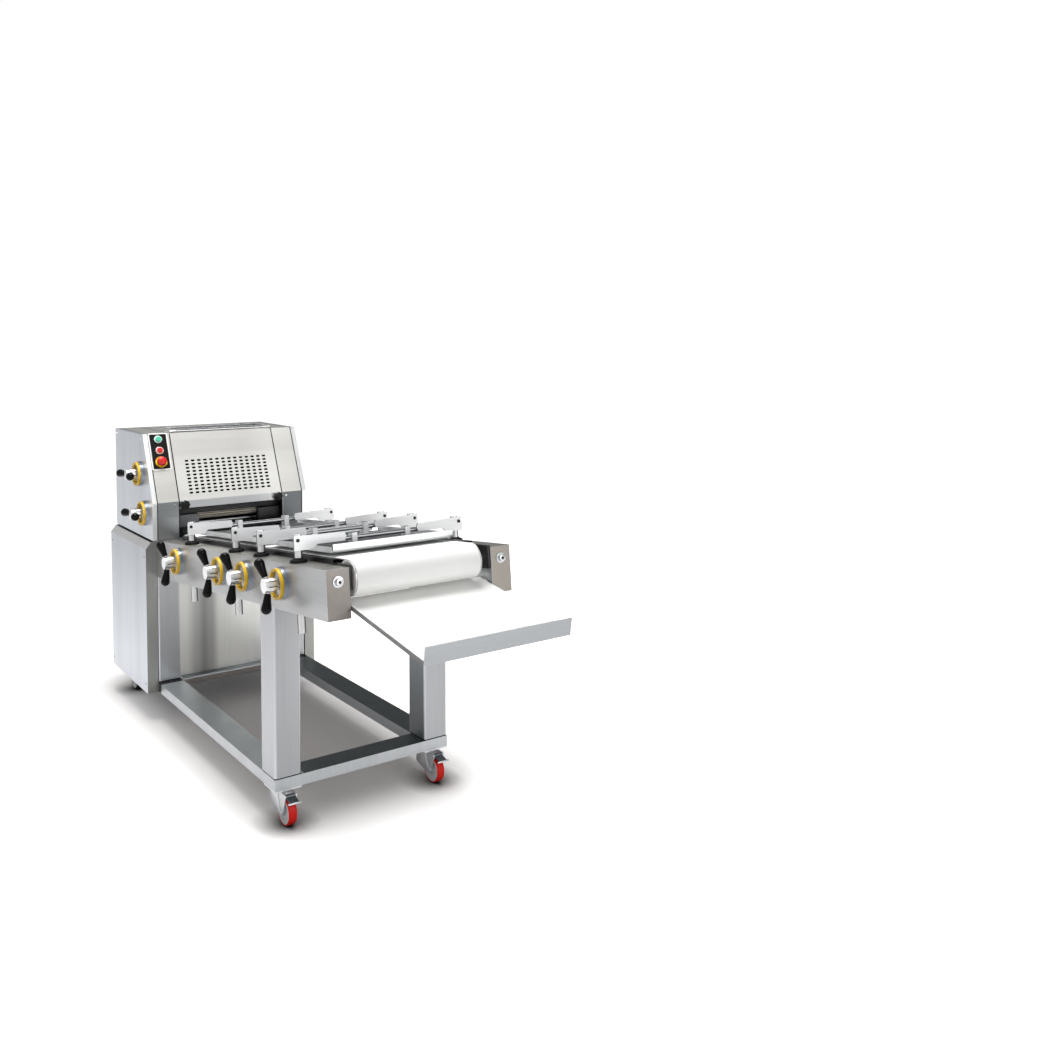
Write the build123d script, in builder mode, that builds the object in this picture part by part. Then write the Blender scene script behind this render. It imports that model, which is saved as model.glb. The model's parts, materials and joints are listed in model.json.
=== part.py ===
from build123d import *
import os
from math import cos, hypot, radians, sin, sqrt, tan

os.makedirs("parts", exist_ok=True)

# Dough moulder with a tilted pressure-board table, in millimetres and degrees.
# +X is the machine's right, +Y its back, +Z up. x, y and z below count from the middle of the
# base frame's front edge on the floor; on the table l runs back from its nose and h stands above its boxes.

# Clearances and sheet
WELD_GAP = 0.2
RUN_FIT = 0.05
CURVE_GAP = 0.3
SHEET = 3.0

# Base frame and pedestal
HALF_WIDTH = 350.0
RAIL_WIDTH = 100.0
RAIL_HEIGHT = 40.0
TUBE_WALL = 3.0
TUBE_ROUND = 10.0
LEG_WIDTH = 100.0
LEG_DEPTH = 120.0
PEDESTAL_LEG = 100.0
PEDESTAL_FRONT = 1280.0
BODY_DEPTH = 550.0
FRONT_PANEL_INSET = 40.0
BACK_PANEL_INSET = 20.0
COVER_REACH = 48.0
COVER_SHOULDER = 26.0
COVER_BEVEL = 28.0
COVER_CAP = 8.0
COVER_SEAM = 2.0

# Casters
CASTER_HEIGHT = 130.0
CASTER_PLATE = 98.0
CASTER_PLATE_THICK = 6.0
RACE_RADIUS = 34.0
RACE_THICK = 6.0
FORK_HEAD_THICK = 7.0
FORK_HEAD_FRONT = 32.0
FORK_HEAD_BACK = 22.0
KINGPIN_RADIUS = 8.0
KINGPIN_HEAD_RADIUS = 11.0
KINGPIN_HEAD_THICK = 5.0
CHEEK_THICK = 4.0
CHEEK_ROUND = 13.0
CASTER_TRAIL = 38.0
WHEEL_RADIUS = 50.0
WHEEL_WIDTH = 32.0
WHEEL_SIDE_GAP = 2.0
TREAD_THICK = 12.0
TREAD_ROUND = 5.0
WHEEL_WEB = 12.0
AXLE_RADIUS = 6.0
AXLE_HEAD_RADIUS = 9.0
AXLE_HEAD = 4.0
PEDAL_PIVOT_REACH = 62.0
PEDAL_PIVOT_DROP = 21.0
PEDAL_PIN_RADIUS = 4.0
PEDAL_BARREL_RADIUS = 8.0
PEDAL_LENGTH = 42.0
PEDAL_THICK = 4.0
PEDAL_SLOPE = 15.0

# Table boxes
TILT = 5.75
TABLE_NOSE = 409.0
TABLE_TOP = 975.0
BOX_WIDTH = 80.0
BOX_HEIGHT = 160.0

# Belt and drums
BELT_WIDTH = 464.0
BELT_SHIFT = -17.0
BELT_THICK = 3.0
BELT_RISE = 19.0
DRUM_BORE_OF_BELT = 57.0
DRUM_OVERHANG = 3.0
DRUM_SHELL = 5.0
DRUM_END = 10.0
DRUM_SHAFT_RADIUS = 10.0
DRUM_SHAFT_END = 15.0
FRONT_DRUM_L = 42.0
REAR_DRUM_SETBACK = 82.5
TAKE_UP = 40.0
BED_END_GAP = 70.0
BED_FLANGE = 40.0
TENSION_BOLT_RADIUS = 5.0
TENSION_WASHER_RADIUS = 17.0
TENSION_HEAD_RADIUS = 12.0
TENSION_HEAD_HEIGHT = 11.0

# Lifting posts, bars and boards
POST_L = (288.0, 606.0, 850.0, 1347.0)
LIFT_NAMES = ("front_board_front", "front_board_rear", "rear_board_front", "rear_board_rear")
POST_RADIUS = 14.0
POST_TOP = 92.0
POST_BELOW = 75.0
RACK_DEPTH = 21.0
RACK_WIDTH = 12.0
RACK_TOP = -30.0
RACK_BOTTOM = -125.0
BUSH_WALL = 4.0
SEAL_RADIUS = 25.0
SEAL_HEIGHT = 10.0
BUSH_LENGTH = 8.0
LOWER_BUSH_LENGTH = 20.0
LOWER_BUSH_FLANGE = 5.0
BAR_RADIUS = 8.0
BAR_H = 62.0
EAR_THICK = 6.0
EAR_REACH = 165.0
EAR_TOP = 90.0
EAR_UNDERSIDE = 55.0
CLAMP_HALF = 22.0
CLAMP_BOTTOM = 40.0
BOARD_GAP = 11.0
BOARD_SHEET = 3.0
BOARD_LIP = 30.0
BOARD_NOSE_RADIUS = 14.0
BOARD_FLANGE = 20.0
FRONT_BOARD = (148.0, 690.0)
REAR_BOARD = (745.0, 1460.0)
HANGER_X = 105.0
HANGER_WIDTH = 20.0
HANGER_WALL = 6.0
SLOT_PLAY = 1.5
PIVOT_BUSH_WALL = 4.0

# Handles
HANDLE_H = -70.0
PINION_RADIUS = 20.0
PINION_WIDTH = 16.0
SPINDLE_RADIUS = 8.0
FLANGE_RADIUS = 56.0
FLANGE_THICK = 14.0
RING_OUTER = 53.0
RING_INNER = 44.0
RING_THICK = 10.0
HUB_GAP = 0.5
HUB_RADIUS = 25.0
HUB_LENGTH = 40.0
HUB_FLUTES = 8
HUB_FLUTE_WIDTH = 3.5
HUB_FLUTE_DEPTH = 2.5
HUB_FLUTE_LENGTH = 30.0
HUB_FLUTE_TURN = 9.0
ARM_RADIUS = 6.0
ARM_BACK = 18.0
ARM_FLARE = 15.0
ARM_TURN = 16.0
HEAD_ARM_TURN = 90.0
GRIP_START = 29.5
GRIP_LENGTH = 49.5
GRIP_ROOT_RADIUS = 10.5
GRIP_TIP_RADIUS = 18.0
GRIP_BORE = 35.0

# Discharge tray
TRAY_REACH = 861.0
TRAY_SLOPE = 8.6
TRAY_LAP = 56.8
TRAY_ROOT_DROP = 113.3
TRAY_SIDE_GAP = 5.0
TRAY_FLANGE = 15.0
LIP_HEIGHT = 42.0
LIP_SHEET = 2.0
TAB_LENGTH = 40.0
TAB_HEIGHT = 24.0

# Head casing
HEAD_OVERHANG = 13.0
HEAD_BASE = 808.0
FOLD_RISE = 165.0
HEAD_HEIGHT = 459.0
HEAD_PROUD = 20.0
HEAD_RIGHT = 356.0
HEAD_SLOPE = 23.66
SIDE_DEPTH = 20.0
MOUTH_LEFT = -250.0
MOUTH_RIGHT = 232.0
INNER_PLATE = 10.0
INNER_SETBACK = 8.0
INNER_TOP_GAP = 5.0
INFEED_FRONT = 22.0
INFEED_LENGTH = 115.0
INFEED_SIDE = 26.0
INFEED_RIM = 16.0

# Guard, its hinge and knobs
GUARD_GAP = 1.0
GUARD_LIP = 33.0
SLOT_COLUMNS = 14
SLOT_ROWS = 10
SLOT_PITCH_X = 28.2
SLOT_PITCH_S = 16.8
SLOT_LENGTH = 17.0
SLOT_HEIGHT = 9.0
SLOT_CENTRE_X = -9.0
SLOT_CENTRE_S = 110.0
HINGE_RISE = 9.0
KNUCKLE_RADIUS = 6.0
HINGE_PIN_RADIUS = 3.0
KNUCKLE_LENGTH = 28.0
KNOB_RADIUS = 22.0
KNOB_HEIGHT = 20.0
KNOB_EDGE = 21.0
KNOB_STEM = 5.0
KNOB_STEM_LENGTH = 14.0

# Controls
PLATE_WIDTH = 76.0
PLATE_LENGTH = 165.0
PLATE_ROUND = 5.0
PLATE_THICK = 3.0
PLATE_X = -306.0
PLATE_TOP_DROP = 84.5
START_RISE = 57.5
STOP_RISE = 4.5
EMERGENCY_DROP = 49.5
BUTTON_RADIUS = 11.0
BUTTON_HEIGHT = 6.0
BUTTON_TRAVEL = 3.0
BUTTON_STEM = 8.0
BUTTON_STEM_LENGTH = 20.0
EMERGENCY_RADIUS = 21.0
EMERGENCY_HEIGHT = 16.0
EMERGENCY_TRAVEL = 5.0
COLLAR_RADIUS = 25.5
COLLAR_THICK = 3.0

# Sheeting rollers and drive
UPPER_HANDLE_BACK = 168.0
UPPER_HANDLE_RISE = 280.0
LOWER_HANDLE_BACK = 103.0
LOWER_HANDLE_RISE = 110.0
ROLLER_RADIUS = 50.0
ROLLER_GAP = 5.0
ROLLER_END_GAP = 12.0
JOURNAL_RADIUS = 10.0
ECCENTRICITY = 6.0
ECCENTRIC_RADIUS = 24.0
LINK_THICK = 6.0
LINK_WIDTH = 24.0
LINK_HEAD_RADIUS = 28.0
LINK_REACH = 68.0
TIE_RADIUS = 6.0
FLUTES = 24
FLUTE_RADIUS = 3.0
CHUTE_SHEET = 3.0
CHUTE_TOP_BACK = 50.0
CHUTE_TOP_RISE = 41.0
CHUTE_FOOT_AHEAD = 62.0
CHUTE_FOOT_RISE = 30.0
GEARBOX_WIDTH = 70.0
GEARBOX_HEIGHT = 90.0
MOTOR_BACK_GAP = 135.0
MOTOR_RADIUS = 65.0
MOTOR_LENGTH = 260.0
MOTOR_HOLE_GAP = 5.0
SCREW_RADIUS = 5.0
SCREW_HEIGHT = 3.0
SCREW_INSET = 22.0
SCREW_DROP = 16.0

# Sizes that follow from the ones above
COS_T = cos(radians(TILT))
SIN_T = sin(radians(TILT))
RAIL_TOP = CASTER_HEIGHT + RAIL_HEIGHT
BODY_REACH = PEDESTAL_FRONT + BODY_DEPTH
HEAD_FRONT = PEDESTAL_FRONT - HEAD_OVERHANG
FOLD_Z = HEAD_BASE + FOLD_RISE
HEAD_TOP = HEAD_BASE + HEAD_HEIGHT
DECK_UNDER = HEAD_BASE - SHEET
BOX_X = HALF_WIDTH - BOX_WIDTH / 2
BOX_INNER = HALF_WIDTH - BOX_WIDTH
TRAY_HALF_WIDTH = BOX_INNER - TRAY_SIDE_GAP
DRUM_H = BELT_RISE - BELT_THICK - DRUM_BORE_OF_BELT
DRUM_RADIUS = DRUM_BORE_OF_BELT - CURVE_GAP
DRUM_SHAFT_SPAN = 2 * (BOX_X + DRUM_SHAFT_END)
REAR_DRUM_L = (PEDESTAL_FRONT + TABLE_NOSE) / COS_T - REAR_DRUM_SETBACK
BOARD_H = BELT_RISE + BOARD_GAP
SPINDLE_SETBACK = POST_RADIUS + RACK_DEPTH + CURVE_GAP + PINION_RADIUS
HUB_INNER = FLANGE_THICK + RING_THICK + HUB_GAP
ARM_ROOT = HUB_INNER + HUB_LENGTH - ARM_BACK
GRIP_END = GRIP_START + GRIP_LENGTH
HANDLE_REACH = ARM_ROOT + GRIP_END * sin(radians(ARM_FLARE)) + GRIP_TIP_RADIUS
SLOPE_LENGTH = (HEAD_TOP - FOLD_Z) / cos(radians(HEAD_SLOPE))
PLATE_S = SLOPE_LENGTH - PLATE_TOP_DROP
START_S = PLATE_S + START_RISE
STOP_S = PLATE_S + STOP_RISE
EMERGENCY_S = PLATE_S - EMERGENCY_DROP
UPPER_HANDLE_YZ = (HEAD_FRONT + UPPER_HANDLE_BACK, HEAD_BASE + UPPER_HANDLE_RISE)
LOWER_HANDLE_YZ = (HEAD_FRONT + LOWER_HANDLE_BACK, HEAD_BASE + LOWER_HANDLE_RISE)
CHUTE_TOP = (HEAD_FRONT + CHUTE_TOP_BACK, HEAD_BASE + CHUTE_TOP_RISE)
CHUTE_FOOT = (HEAD_FRONT - CHUTE_FOOT_AHEAD, HEAD_BASE + CHUTE_FOOT_RISE)
CASTER_X = HALF_WIDTH - RAIL_WIDTH / 2
FRONT_CASTER_Y = RAIL_WIDTH / 2
REAR_CASTER_Y = BODY_REACH - PEDESTAL_LEG / 2
FORK_TOP = CASTER_HEIGHT - CASTER_PLATE_THICK - RACE_THICK - CURVE_GAP
HEAD_LEFT = -HALF_WIDTH - HEAD_PROUD

# The row frame's origin is the middle of the whole machine on the floor.
MID_X = (HEAD_PROUD + HANDLE_REACH - COVER_REACH) / 2
MID_Y = (TRAY_REACH - BODY_REACH) / 2


def at(x, y, z):
    """A point given from the base frame's front edge, in the row frame."""
    return (MID_X + x, MID_Y + y, z)


def table_at(x, l, h):
    """A point given along and above the tilted table, in the row frame."""
    return at(x, l * COS_T + h * SIN_T - TABLE_NOSE, TABLE_TOP - l * SIN_T + h * COS_T)


def across(x, y, z):
    """A plane square to X, whose own axes point back and up."""
    return Plane(origin=at(x, y, z), x_dir=(0, 1, 0), z_dir=(1, 0, 0))


def table_across(x, l, h):
    """A plane square to X, whose own axes run along and above the table."""
    return Plane(origin=table_at(x, l, h), x_dir=(0, COS_T, -SIN_T), z_dir=(1, 0, 0))


TABLE = Plane(origin=table_at(0, 0, 0), x_dir=(1, 0, 0), z_dir=(0, SIN_T, COS_T))
SLOPE = Plane(
    origin=at(0, HEAD_FRONT, FOLD_Z),
    x_dir=(1, 0, 0),
    z_dir=(0, -cos(radians(HEAD_SLOPE)), sin(radians(HEAD_SLOPE))),
)


def tube(plane, width, depth, length):
    """Adds an open-ended rectangular tube to the part in hand."""
    with BuildSketch(plane) as section:
        RectangleRounded(width, depth, TUBE_ROUND)
        RectangleRounded(
            width - 2 * TUBE_WALL,
            depth - 2 * TUBE_WALL,
            TUBE_ROUND - TUBE_WALL,
            mode=Mode.SUBTRACT,
        )
    extrude(section.sketch, amount=length)


def mitred_rail(outer, inner):
    """Adds a flat rail of the base, drawn in plan by its outer and inner outlines."""
    with BuildSketch(Plane(at(0, 0, CASTER_HEIGHT))) as outside:
        with BuildLine():
            Polyline(*outer, close=True)
        make_face()
    extrude(outside.sketch, amount=RAIL_HEIGHT)
    with BuildSketch(Plane(at(0, 0, CASTER_HEIGHT + TUBE_WALL))) as bore:
        with BuildLine():
            Polyline(*inner, close=True)
        make_face()
    extrude(bore.sketch, amount=RAIL_HEIGHT - 2 * TUBE_WALL, mode=Mode.SUBTRACT)


def slab(plane, low, high):
    """Adds a block between two corners given in a plane's own axes."""
    size = [b - a for a, b in zip(low, high)]
    middle = [(a + b) / 2 for a, b in zip(low, high)]
    with Locations(plane.location * Pos(*middle)):
        Box(*size)


def side_cover(side, inset, mode):
    """Adds or hollows a side cover of the pedestal, with its shouldered top, open towards the legs."""
    outline = [
        (WELD_GAP, CASTER_HEIGHT + inset),
        (COVER_REACH - inset, CASTER_HEIGHT + inset),
        (COVER_REACH - inset, HEAD_BASE - COVER_CAP - COVER_BEVEL - inset / 2),
        (COVER_SHOULDER - inset / 2, HEAD_BASE - COVER_CAP - inset),
        (WELD_GAP, HEAD_BASE - COVER_SEAM - inset),
    ]
    plane = Plane(origin=at(0, PEDESTAL_FRONT + inset, 0), x_dir=(1, 0, 0), z_dir=(0, -1, 0))
    with BuildSketch(plane) as section:
        with BuildLine():
            Polyline(*[(side * (HALF_WIDTH + reach), height) for reach, height in outline], close=True)
        make_face()
    extrude(section.sketch, amount=2 * inset - BODY_DEPTH, mode=mode)


FLOOR = Plane(at(0, 0, 0))

# Base frame: legs and mitred rails in front, a square-legged pedestal behind
with BuildPart() as base_frame:
    for side in (-1, 1):
        leg_plane = Plane(at(side * (HALF_WIDTH - LEG_WIDTH / 2), LEG_DEPTH / 2, RAIL_TOP + WELD_GAP))
        tube(leg_plane, LEG_WIDTH, LEG_DEPTH, TABLE_TOP)
    split(bisect_by=TABLE.offset(-BOX_HEIGHT - WELD_GAP), keep=Keep.BOTTOM)
    rail_inside = HALF_WIDTH - RAIL_WIDTH
    bore_outside = HALF_WIDTH - TUBE_WALL
    bore_inside = rail_inside + TUBE_WALL
    bore_width = RAIL_WIDTH - TUBE_WALL
    mitred_rail(
        [(-HALF_WIDTH, 0), (HALF_WIDTH, 0), (rail_inside, RAIL_WIDTH), (-rail_inside, RAIL_WIDTH)],
        [
            (-bore_outside, TUBE_WALL),
            (bore_outside, TUBE_WALL),
            (bore_inside, bore_width),
            (-bore_inside, bore_width),
        ],
    )
    rail_end = PEDESTAL_FRONT - WELD_GAP
    for side in (-1, 1):
        mitred_rail(
            [
                (side * HALF_WIDTH, WELD_GAP),
                (side * rail_inside, RAIL_WIDTH + WELD_GAP),
                (side * rail_inside, rail_end),
                (side * HALF_WIDTH, rail_end),
            ],
            [
                (side * bore_outside, TUBE_WALL + WELD_GAP),
                (side * bore_inside, bore_width + WELD_GAP),
                (side * bore_inside, rail_end),
                (side * bore_outside, rail_end),
            ],
        )
    pedestal_rear = BODY_REACH - PEDESTAL_LEG
    leg_inside = HALF_WIDTH - PEDESTAL_LEG
    rail_middle = CASTER_HEIGHT + RAIL_HEIGHT / 2
    for leg_front in (PEDESTAL_FRONT, pedestal_rear):
        leg_y = leg_front + PEDESTAL_LEG / 2
        for side in (-1, 1):
            leg_plane = Plane(at(side * (HALF_WIDTH - PEDESTAL_LEG / 2), leg_y, CASTER_HEIGHT))
            tube(leg_plane, PEDESTAL_LEG, PEDESTAL_LEG, DECK_UNDER - CASTER_HEIGHT)
        tube(
            across(-leg_inside + WELD_GAP, leg_y, rail_middle),
            PEDESTAL_LEG,
            RAIL_HEIGHT,
            2 * (leg_inside - WELD_GAP),
        )
    side_rail_y = PEDESTAL_FRONT + PEDESTAL_LEG + WELD_GAP
    for side in (-1, 1):
        rail_plane = Plane(
            origin=at(side * (HALF_WIDTH - PEDESTAL_LEG / 2), side_rail_y, rail_middle),
            x_dir=(1, 0, 0),
            z_dir=(0, 1, 0),
        )
        tube(rail_plane, PEDESTAL_LEG, RAIL_HEIGHT, pedestal_rear - WELD_GAP - side_rail_y)
base_frame.part.label = "base_frame"
export_step(base_frame.part, "parts/base_frame.step")

# Pedestal and back panels: sheets set between the legs, and the deck that the head stands on
with BuildPart() as casing_panels:
    panel_foot = RAIL_TOP + WELD_GAP
    panel_head = DECK_UNDER - WELD_GAP
    panel_half = leg_inside - WELD_GAP
    front_panel_y = PEDESTAL_FRONT + FRONT_PANEL_INSET
    slab(FLOOR, (-panel_half, front_panel_y, panel_foot), (panel_half, front_panel_y + SHEET, panel_head))
    back_panel_y = BODY_REACH - BACK_PANEL_INSET
    slab(FLOOR, (-panel_half, back_panel_y - SHEET, panel_foot), (panel_half, back_panel_y, panel_head))
    for side in (-1, 1):
        side_cover(side, 0, Mode.ADD)
        side_cover(side, SHEET, Mode.SUBTRACT)
    slab(FLOOR, (-HALF_WIDTH, PEDESTAL_FRONT, DECK_UNDER), (HALF_WIDTH, BODY_REACH, HEAD_BASE))
    slab(
        FLOOR,
        (HEAD_LEFT + SIDE_DEPTH + WELD_GAP, BODY_REACH - SHEET, HEAD_BASE + WELD_GAP),
        (HEAD_RIGHT - SIDE_DEPTH - WELD_GAP, BODY_REACH, HEAD_TOP - SHEET - WELD_GAP),
    )
casing_panels.part.label = "casing_panels"
export_step(casing_panels.part, "parts/casing_panels.step")


# Casters
def fork_cheeks(x, y, trail, head_low, head_high, pedal):
    """Adds a caster fork's two cheeks with the wheel axle, and the pedal pin where it has a brake."""
    inner = WHEEL_WIDTH / 2 + WHEEL_SIDE_GAP
    for cheek_x in (x - inner - CHEEK_THICK, x + inner):
        with BuildSketch(across(cheek_x, y, 0)) as cheek:
            with Locations((-trail, WHEEL_RADIUS)):
                Circle(CHEEK_ROUND)
            with Locations(((FORK_HEAD_BACK - FORK_HEAD_FRONT) / 2, (head_low + head_high) / 2)):
                Rectangle(FORK_HEAD_BACK + FORK_HEAD_FRONT, head_high - head_low)
            if pedal:
                with Locations((-PEDAL_PIVOT_REACH, CASTER_HEIGHT - PEDAL_PIVOT_DROP)):
                    Circle(PEDAL_BARREL_RADIUS)
            make_hull()
        extrude(cheek.sketch, amount=CHEEK_THICK)
    span = inner + CHEEK_THICK
    with Locations(across(x, y - trail, WHEEL_RADIUS).location):
        Cylinder(AXLE_RADIUS, 2 * span)
        with Locations((0, 0, span + AXLE_HEAD / 2), (0, 0, -span - AXLE_HEAD / 2)):
            Cylinder(AXLE_HEAD_RADIUS, AXLE_HEAD)
    if pedal:
        with Locations(across(x, y - PEDAL_PIVOT_REACH, CASTER_HEIGHT - PEDAL_PIVOT_DROP).location):
            Cylinder(PEDAL_PIN_RADIUS, 2 * span)


with BuildPart() as caster_brackets:
    plate_middle = CASTER_HEIGHT - CASTER_PLATE_THICK / 2
    race_low = CASTER_HEIGHT - CASTER_PLATE_THICK - RACE_THICK
    pin_foot = FORK_TOP - FORK_HEAD_THICK - CURVE_GAP
    for side in (-1, 1):
        for caster_y in (FRONT_CASTER_Y, REAR_CASTER_Y):
            with Locations(at(side * CASTER_X, caster_y, plate_middle)):
                Box(CASTER_PLATE, CASTER_PLATE, CASTER_PLATE_THICK)
        with Locations(at(side * CASTER_X, FRONT_CASTER_Y, race_low)):
            Cylinder(RACE_RADIUS, RACE_THICK, align=(Align.CENTER, Align.CENTER, Align.MIN))
            Cylinder(KINGPIN_RADIUS, race_low - pin_foot, align=(Align.CENTER, Align.CENTER, Align.MAX))
        with Locations(at(side * CASTER_X, FRONT_CASTER_Y, pin_foot)):
            Cylinder(KINGPIN_HEAD_RADIUS, KINGPIN_HEAD_THICK, align=(Align.CENTER, Align.CENTER, Align.MAX))
        fork_cheeks(side * CASTER_X, REAR_CASTER_Y, 0, race_low, CASTER_HEIGHT - CASTER_PLATE_THICK, False)
caster_brackets.part.label = "caster_brackets"
export_step(caster_brackets.part, "parts/caster_brackets.step")

for side_name, side in (("left", -1), ("right", 1)):
    with BuildPart() as caster_fork:
        with Locations(at(side * CASTER_X, FRONT_CASTER_Y, FORK_TOP)):
            Cylinder(RACE_RADIUS, FORK_HEAD_THICK, align=(Align.CENTER, Align.CENTER, Align.MAX))
        head_low = FORK_TOP - FORK_HEAD_THICK
        fork_cheeks(side * CASTER_X, FRONT_CASTER_Y, CASTER_TRAIL, head_low, FORK_TOP, True)
        with Locations(at(side * CASTER_X, FRONT_CASTER_Y, FORK_TOP)):
            Cylinder(KINGPIN_RADIUS + RUN_FIT, 2 * FORK_HEAD_THICK, mode=Mode.SUBTRACT)
    caster_fork.part.label = f"caster_fork_{side_name}"
    export_step(caster_fork.part, f"parts/caster_fork_{side_name}.step")

    with BuildPart() as brake_pedal:
        pedal_y = FRONT_CASTER_Y - PEDAL_PIVOT_REACH
        pedal_z = CASTER_HEIGHT - PEDAL_PIVOT_DROP
        with BuildSketch(across(side * CASTER_X - WHEEL_WIDTH / 2, pedal_y, pedal_z)):
            Circle(PEDAL_BARREL_RADIUS)
            with Locations(Location((0, 0, 0), (0, 0, PEDAL_SLOPE))):
                with Locations((-PEDAL_LENGTH / 2, 0)):
                    Rectangle(PEDAL_LENGTH, PEDAL_THICK)
            Circle(PEDAL_PIN_RADIUS + RUN_FIT, mode=Mode.SUBTRACT)
        extrude(amount=WHEEL_WIDTH)
    brake_pedal.part.label = f"brake_pedal_{side_name}"
    export_step(brake_pedal.part, f"parts/brake_pedal_{side_name}.step")

    for end_name, wheel_y in (("front", FRONT_CASTER_Y - CASTER_TRAIL), ("rear", REAR_CASTER_Y)):
        wheel_plane = across(side * CASTER_X, wheel_y, WHEEL_RADIUS)
        with BuildPart(wheel_plane) as caster_wheel:
            Cylinder(WHEEL_RADIUS, WHEEL_WIDTH)
            fillet(caster_wheel.edges().filter_by(GeomType.CIRCLE), TREAD_ROUND)
            Cylinder(WHEEL_RADIUS - TREAD_THICK, WHEEL_WIDTH, mode=Mode.SUBTRACT)
            Cylinder(WHEEL_RADIUS - TREAD_THICK - WELD_GAP, WHEEL_WEB)
            Cylinder(AXLE_HEAD_RADIUS + SHEET, WHEEL_WIDTH)
            Cylinder(AXLE_RADIUS + RUN_FIT, WHEEL_WIDTH, mode=Mode.SUBTRACT)
        caster_wheel.part.label = f"caster_wheel_{end_name}_{side_name}"
        export_step(caster_wheel.part, f"parts/caster_wheel_{end_name}_{side_name}.step")

# Side boxes of the table: folded sheet, closed at the nose, bolted to the pedestal's front legs
for side_name, side in (("left", -1), ("right", 1)):
    with BuildPart() as side_box:
        box_length = (PEDESTAL_FRONT + TABLE_NOSE) / COS_T + BOX_HEIGHT
        slab(
            TABLE,
            (side * BOX_X - BOX_WIDTH / 2, 0, -BOX_HEIGHT),
            (side * BOX_X + BOX_WIDTH / 2, box_length, 0),
        )
        with Locations(TABLE.location * Pos(side * BOX_X, SHEET + box_length / 2, -BOX_HEIGHT / 2)):
            Box(BOX_WIDTH - 2 * SHEET, box_length, BOX_HEIGHT - 2 * SHEET, mode=Mode.SUBTRACT)
        split(
            bisect_by=Plane(origin=at(0, PEDESTAL_FRONT - WELD_GAP, 0), x_dir=(1, 0, 0), z_dir=(0, 1, 0)),
            keep=Keep.BOTTOM,
        )
        for post_l in POST_L:
            with Locations(TABLE.location * Pos(side * BOX_X, post_l, -BOX_HEIGHT / 2)):
                Cylinder(POST_RADIUS + BUSH_WALL + RUN_FIT, BOX_HEIGHT + SHEET, mode=Mode.SUBTRACT)
            bore_x = -BOX_X if side < 0 else BOX_INNER
            with Locations(table_across(bore_x, post_l + SPINDLE_SETBACK, HANDLE_H).location):
                Cylinder(
                    SPINDLE_RADIUS + RUN_FIT,
                    BOX_WIDTH + SHEET if side < 0 else 3 * SHEET,
                    mode=Mode.SUBTRACT,
                )
        with BuildSketch(table_across(side * BOX_INNER - 2 * SHEET, FRONT_DRUM_L, DRUM_H)):
            SlotCenterToCenter(TAKE_UP, 2 * (DRUM_SHAFT_RADIUS + RUN_FIT))
        extrude(amount=4 * SHEET, mode=Mode.SUBTRACT)
        with Locations(table_across(side * BOX_INNER, REAR_DRUM_L, DRUM_H).location):
            Cylinder(DRUM_SHAFT_RADIUS + RUN_FIT, 4 * SHEET, mode=Mode.SUBTRACT)
        with Locations(TABLE.location * Pos(side * BOX_X, 0, DRUM_H) * Rot(90, 0, 0)):
            Cylinder(TENSION_BOLT_RADIUS + RUN_FIT, 4 * SHEET, mode=Mode.SUBTRACT)
    side_box.part.label = f"{side_name}_side_box"
    export_step(side_box.part, f"parts/{side_name}_side_box.step")

# Slider bed: the plate that carries the belt's upper run, flanged down inside the boxes
with BuildPart() as slider_bed:
    bed_top = BELT_RISE - BELT_THICK
    bed_front = FRONT_DRUM_L + BED_END_GAP
    bed_back = REAR_DRUM_L - BED_END_GAP
    bed_half = BOX_INNER - WELD_GAP
    slab(TABLE, (-bed_half, bed_front, bed_top - SHEET), (bed_half, bed_back, bed_top))
    for flange_x in (-bed_half, bed_half - SHEET):
        slab(TABLE, (flange_x, bed_front, bed_top - BED_FLANGE), (flange_x + SHEET, bed_back, bed_top))
slider_bed.part.label = "slider_bed"
export_step(slider_bed.part, "parts/slider_bed.step")

# Endless conveyor belt
belt_left = BELT_SHIFT - BELT_WIDTH / 2
drum_spacing = REAR_DRUM_L - FRONT_DRUM_L
with BuildPart() as conveyor_belt:
    with BuildSketch(table_across(belt_left, (FRONT_DRUM_L + REAR_DRUM_L) / 2, DRUM_H)):
        SlotCenterToCenter(drum_spacing, 2 * (DRUM_BORE_OF_BELT + BELT_THICK))
        SlotCenterToCenter(drum_spacing, 2 * DRUM_BORE_OF_BELT, mode=Mode.SUBTRACT)
    extrude(amount=BELT_WIDTH)
conveyor_belt.part.label = "conveyor_belt"
export_step(conveyor_belt.part, "parts/conveyor_belt.step")

# Drums turning on fixed shafts
for drum_name, drum_l in (("front_drum", FRONT_DRUM_L), ("rear_drum", REAR_DRUM_L)):
    drum_width = BELT_WIDTH + 2 * DRUM_OVERHANG
    with BuildPart(table_across(BELT_SHIFT, drum_l, DRUM_H)) as drum:
        Cylinder(DRUM_RADIUS, drum_width)
        Cylinder(DRUM_RADIUS - DRUM_SHELL, drum_width - 2 * DRUM_END, mode=Mode.SUBTRACT)
        Cylinder(DRUM_SHAFT_RADIUS + RUN_FIT, drum_width, mode=Mode.SUBTRACT)
    drum.part.label = drum_name
    export_step(drum.part, f"parts/{drum_name}.step")

with BuildPart() as drum_shafts:
    for drum_l in (FRONT_DRUM_L, REAR_DRUM_L):
        with Locations(table_across(0, drum_l, DRUM_H).location):
            Cylinder(DRUM_SHAFT_RADIUS, DRUM_SHAFT_SPAN)
    for side in (-1, 1):
        with Locations(TABLE.location * Pos(side * BOX_X, FRONT_DRUM_L, DRUM_H) * Rot(90, 0, 0)):
            Cylinder(TENSION_BOLT_RADIUS + RUN_FIT, 4 * DRUM_SHAFT_RADIUS, mode=Mode.SUBTRACT)
drum_shafts.part.label = "drum_shafts"
export_step(drum_shafts.part, "parts/drum_shafts.step")

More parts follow.
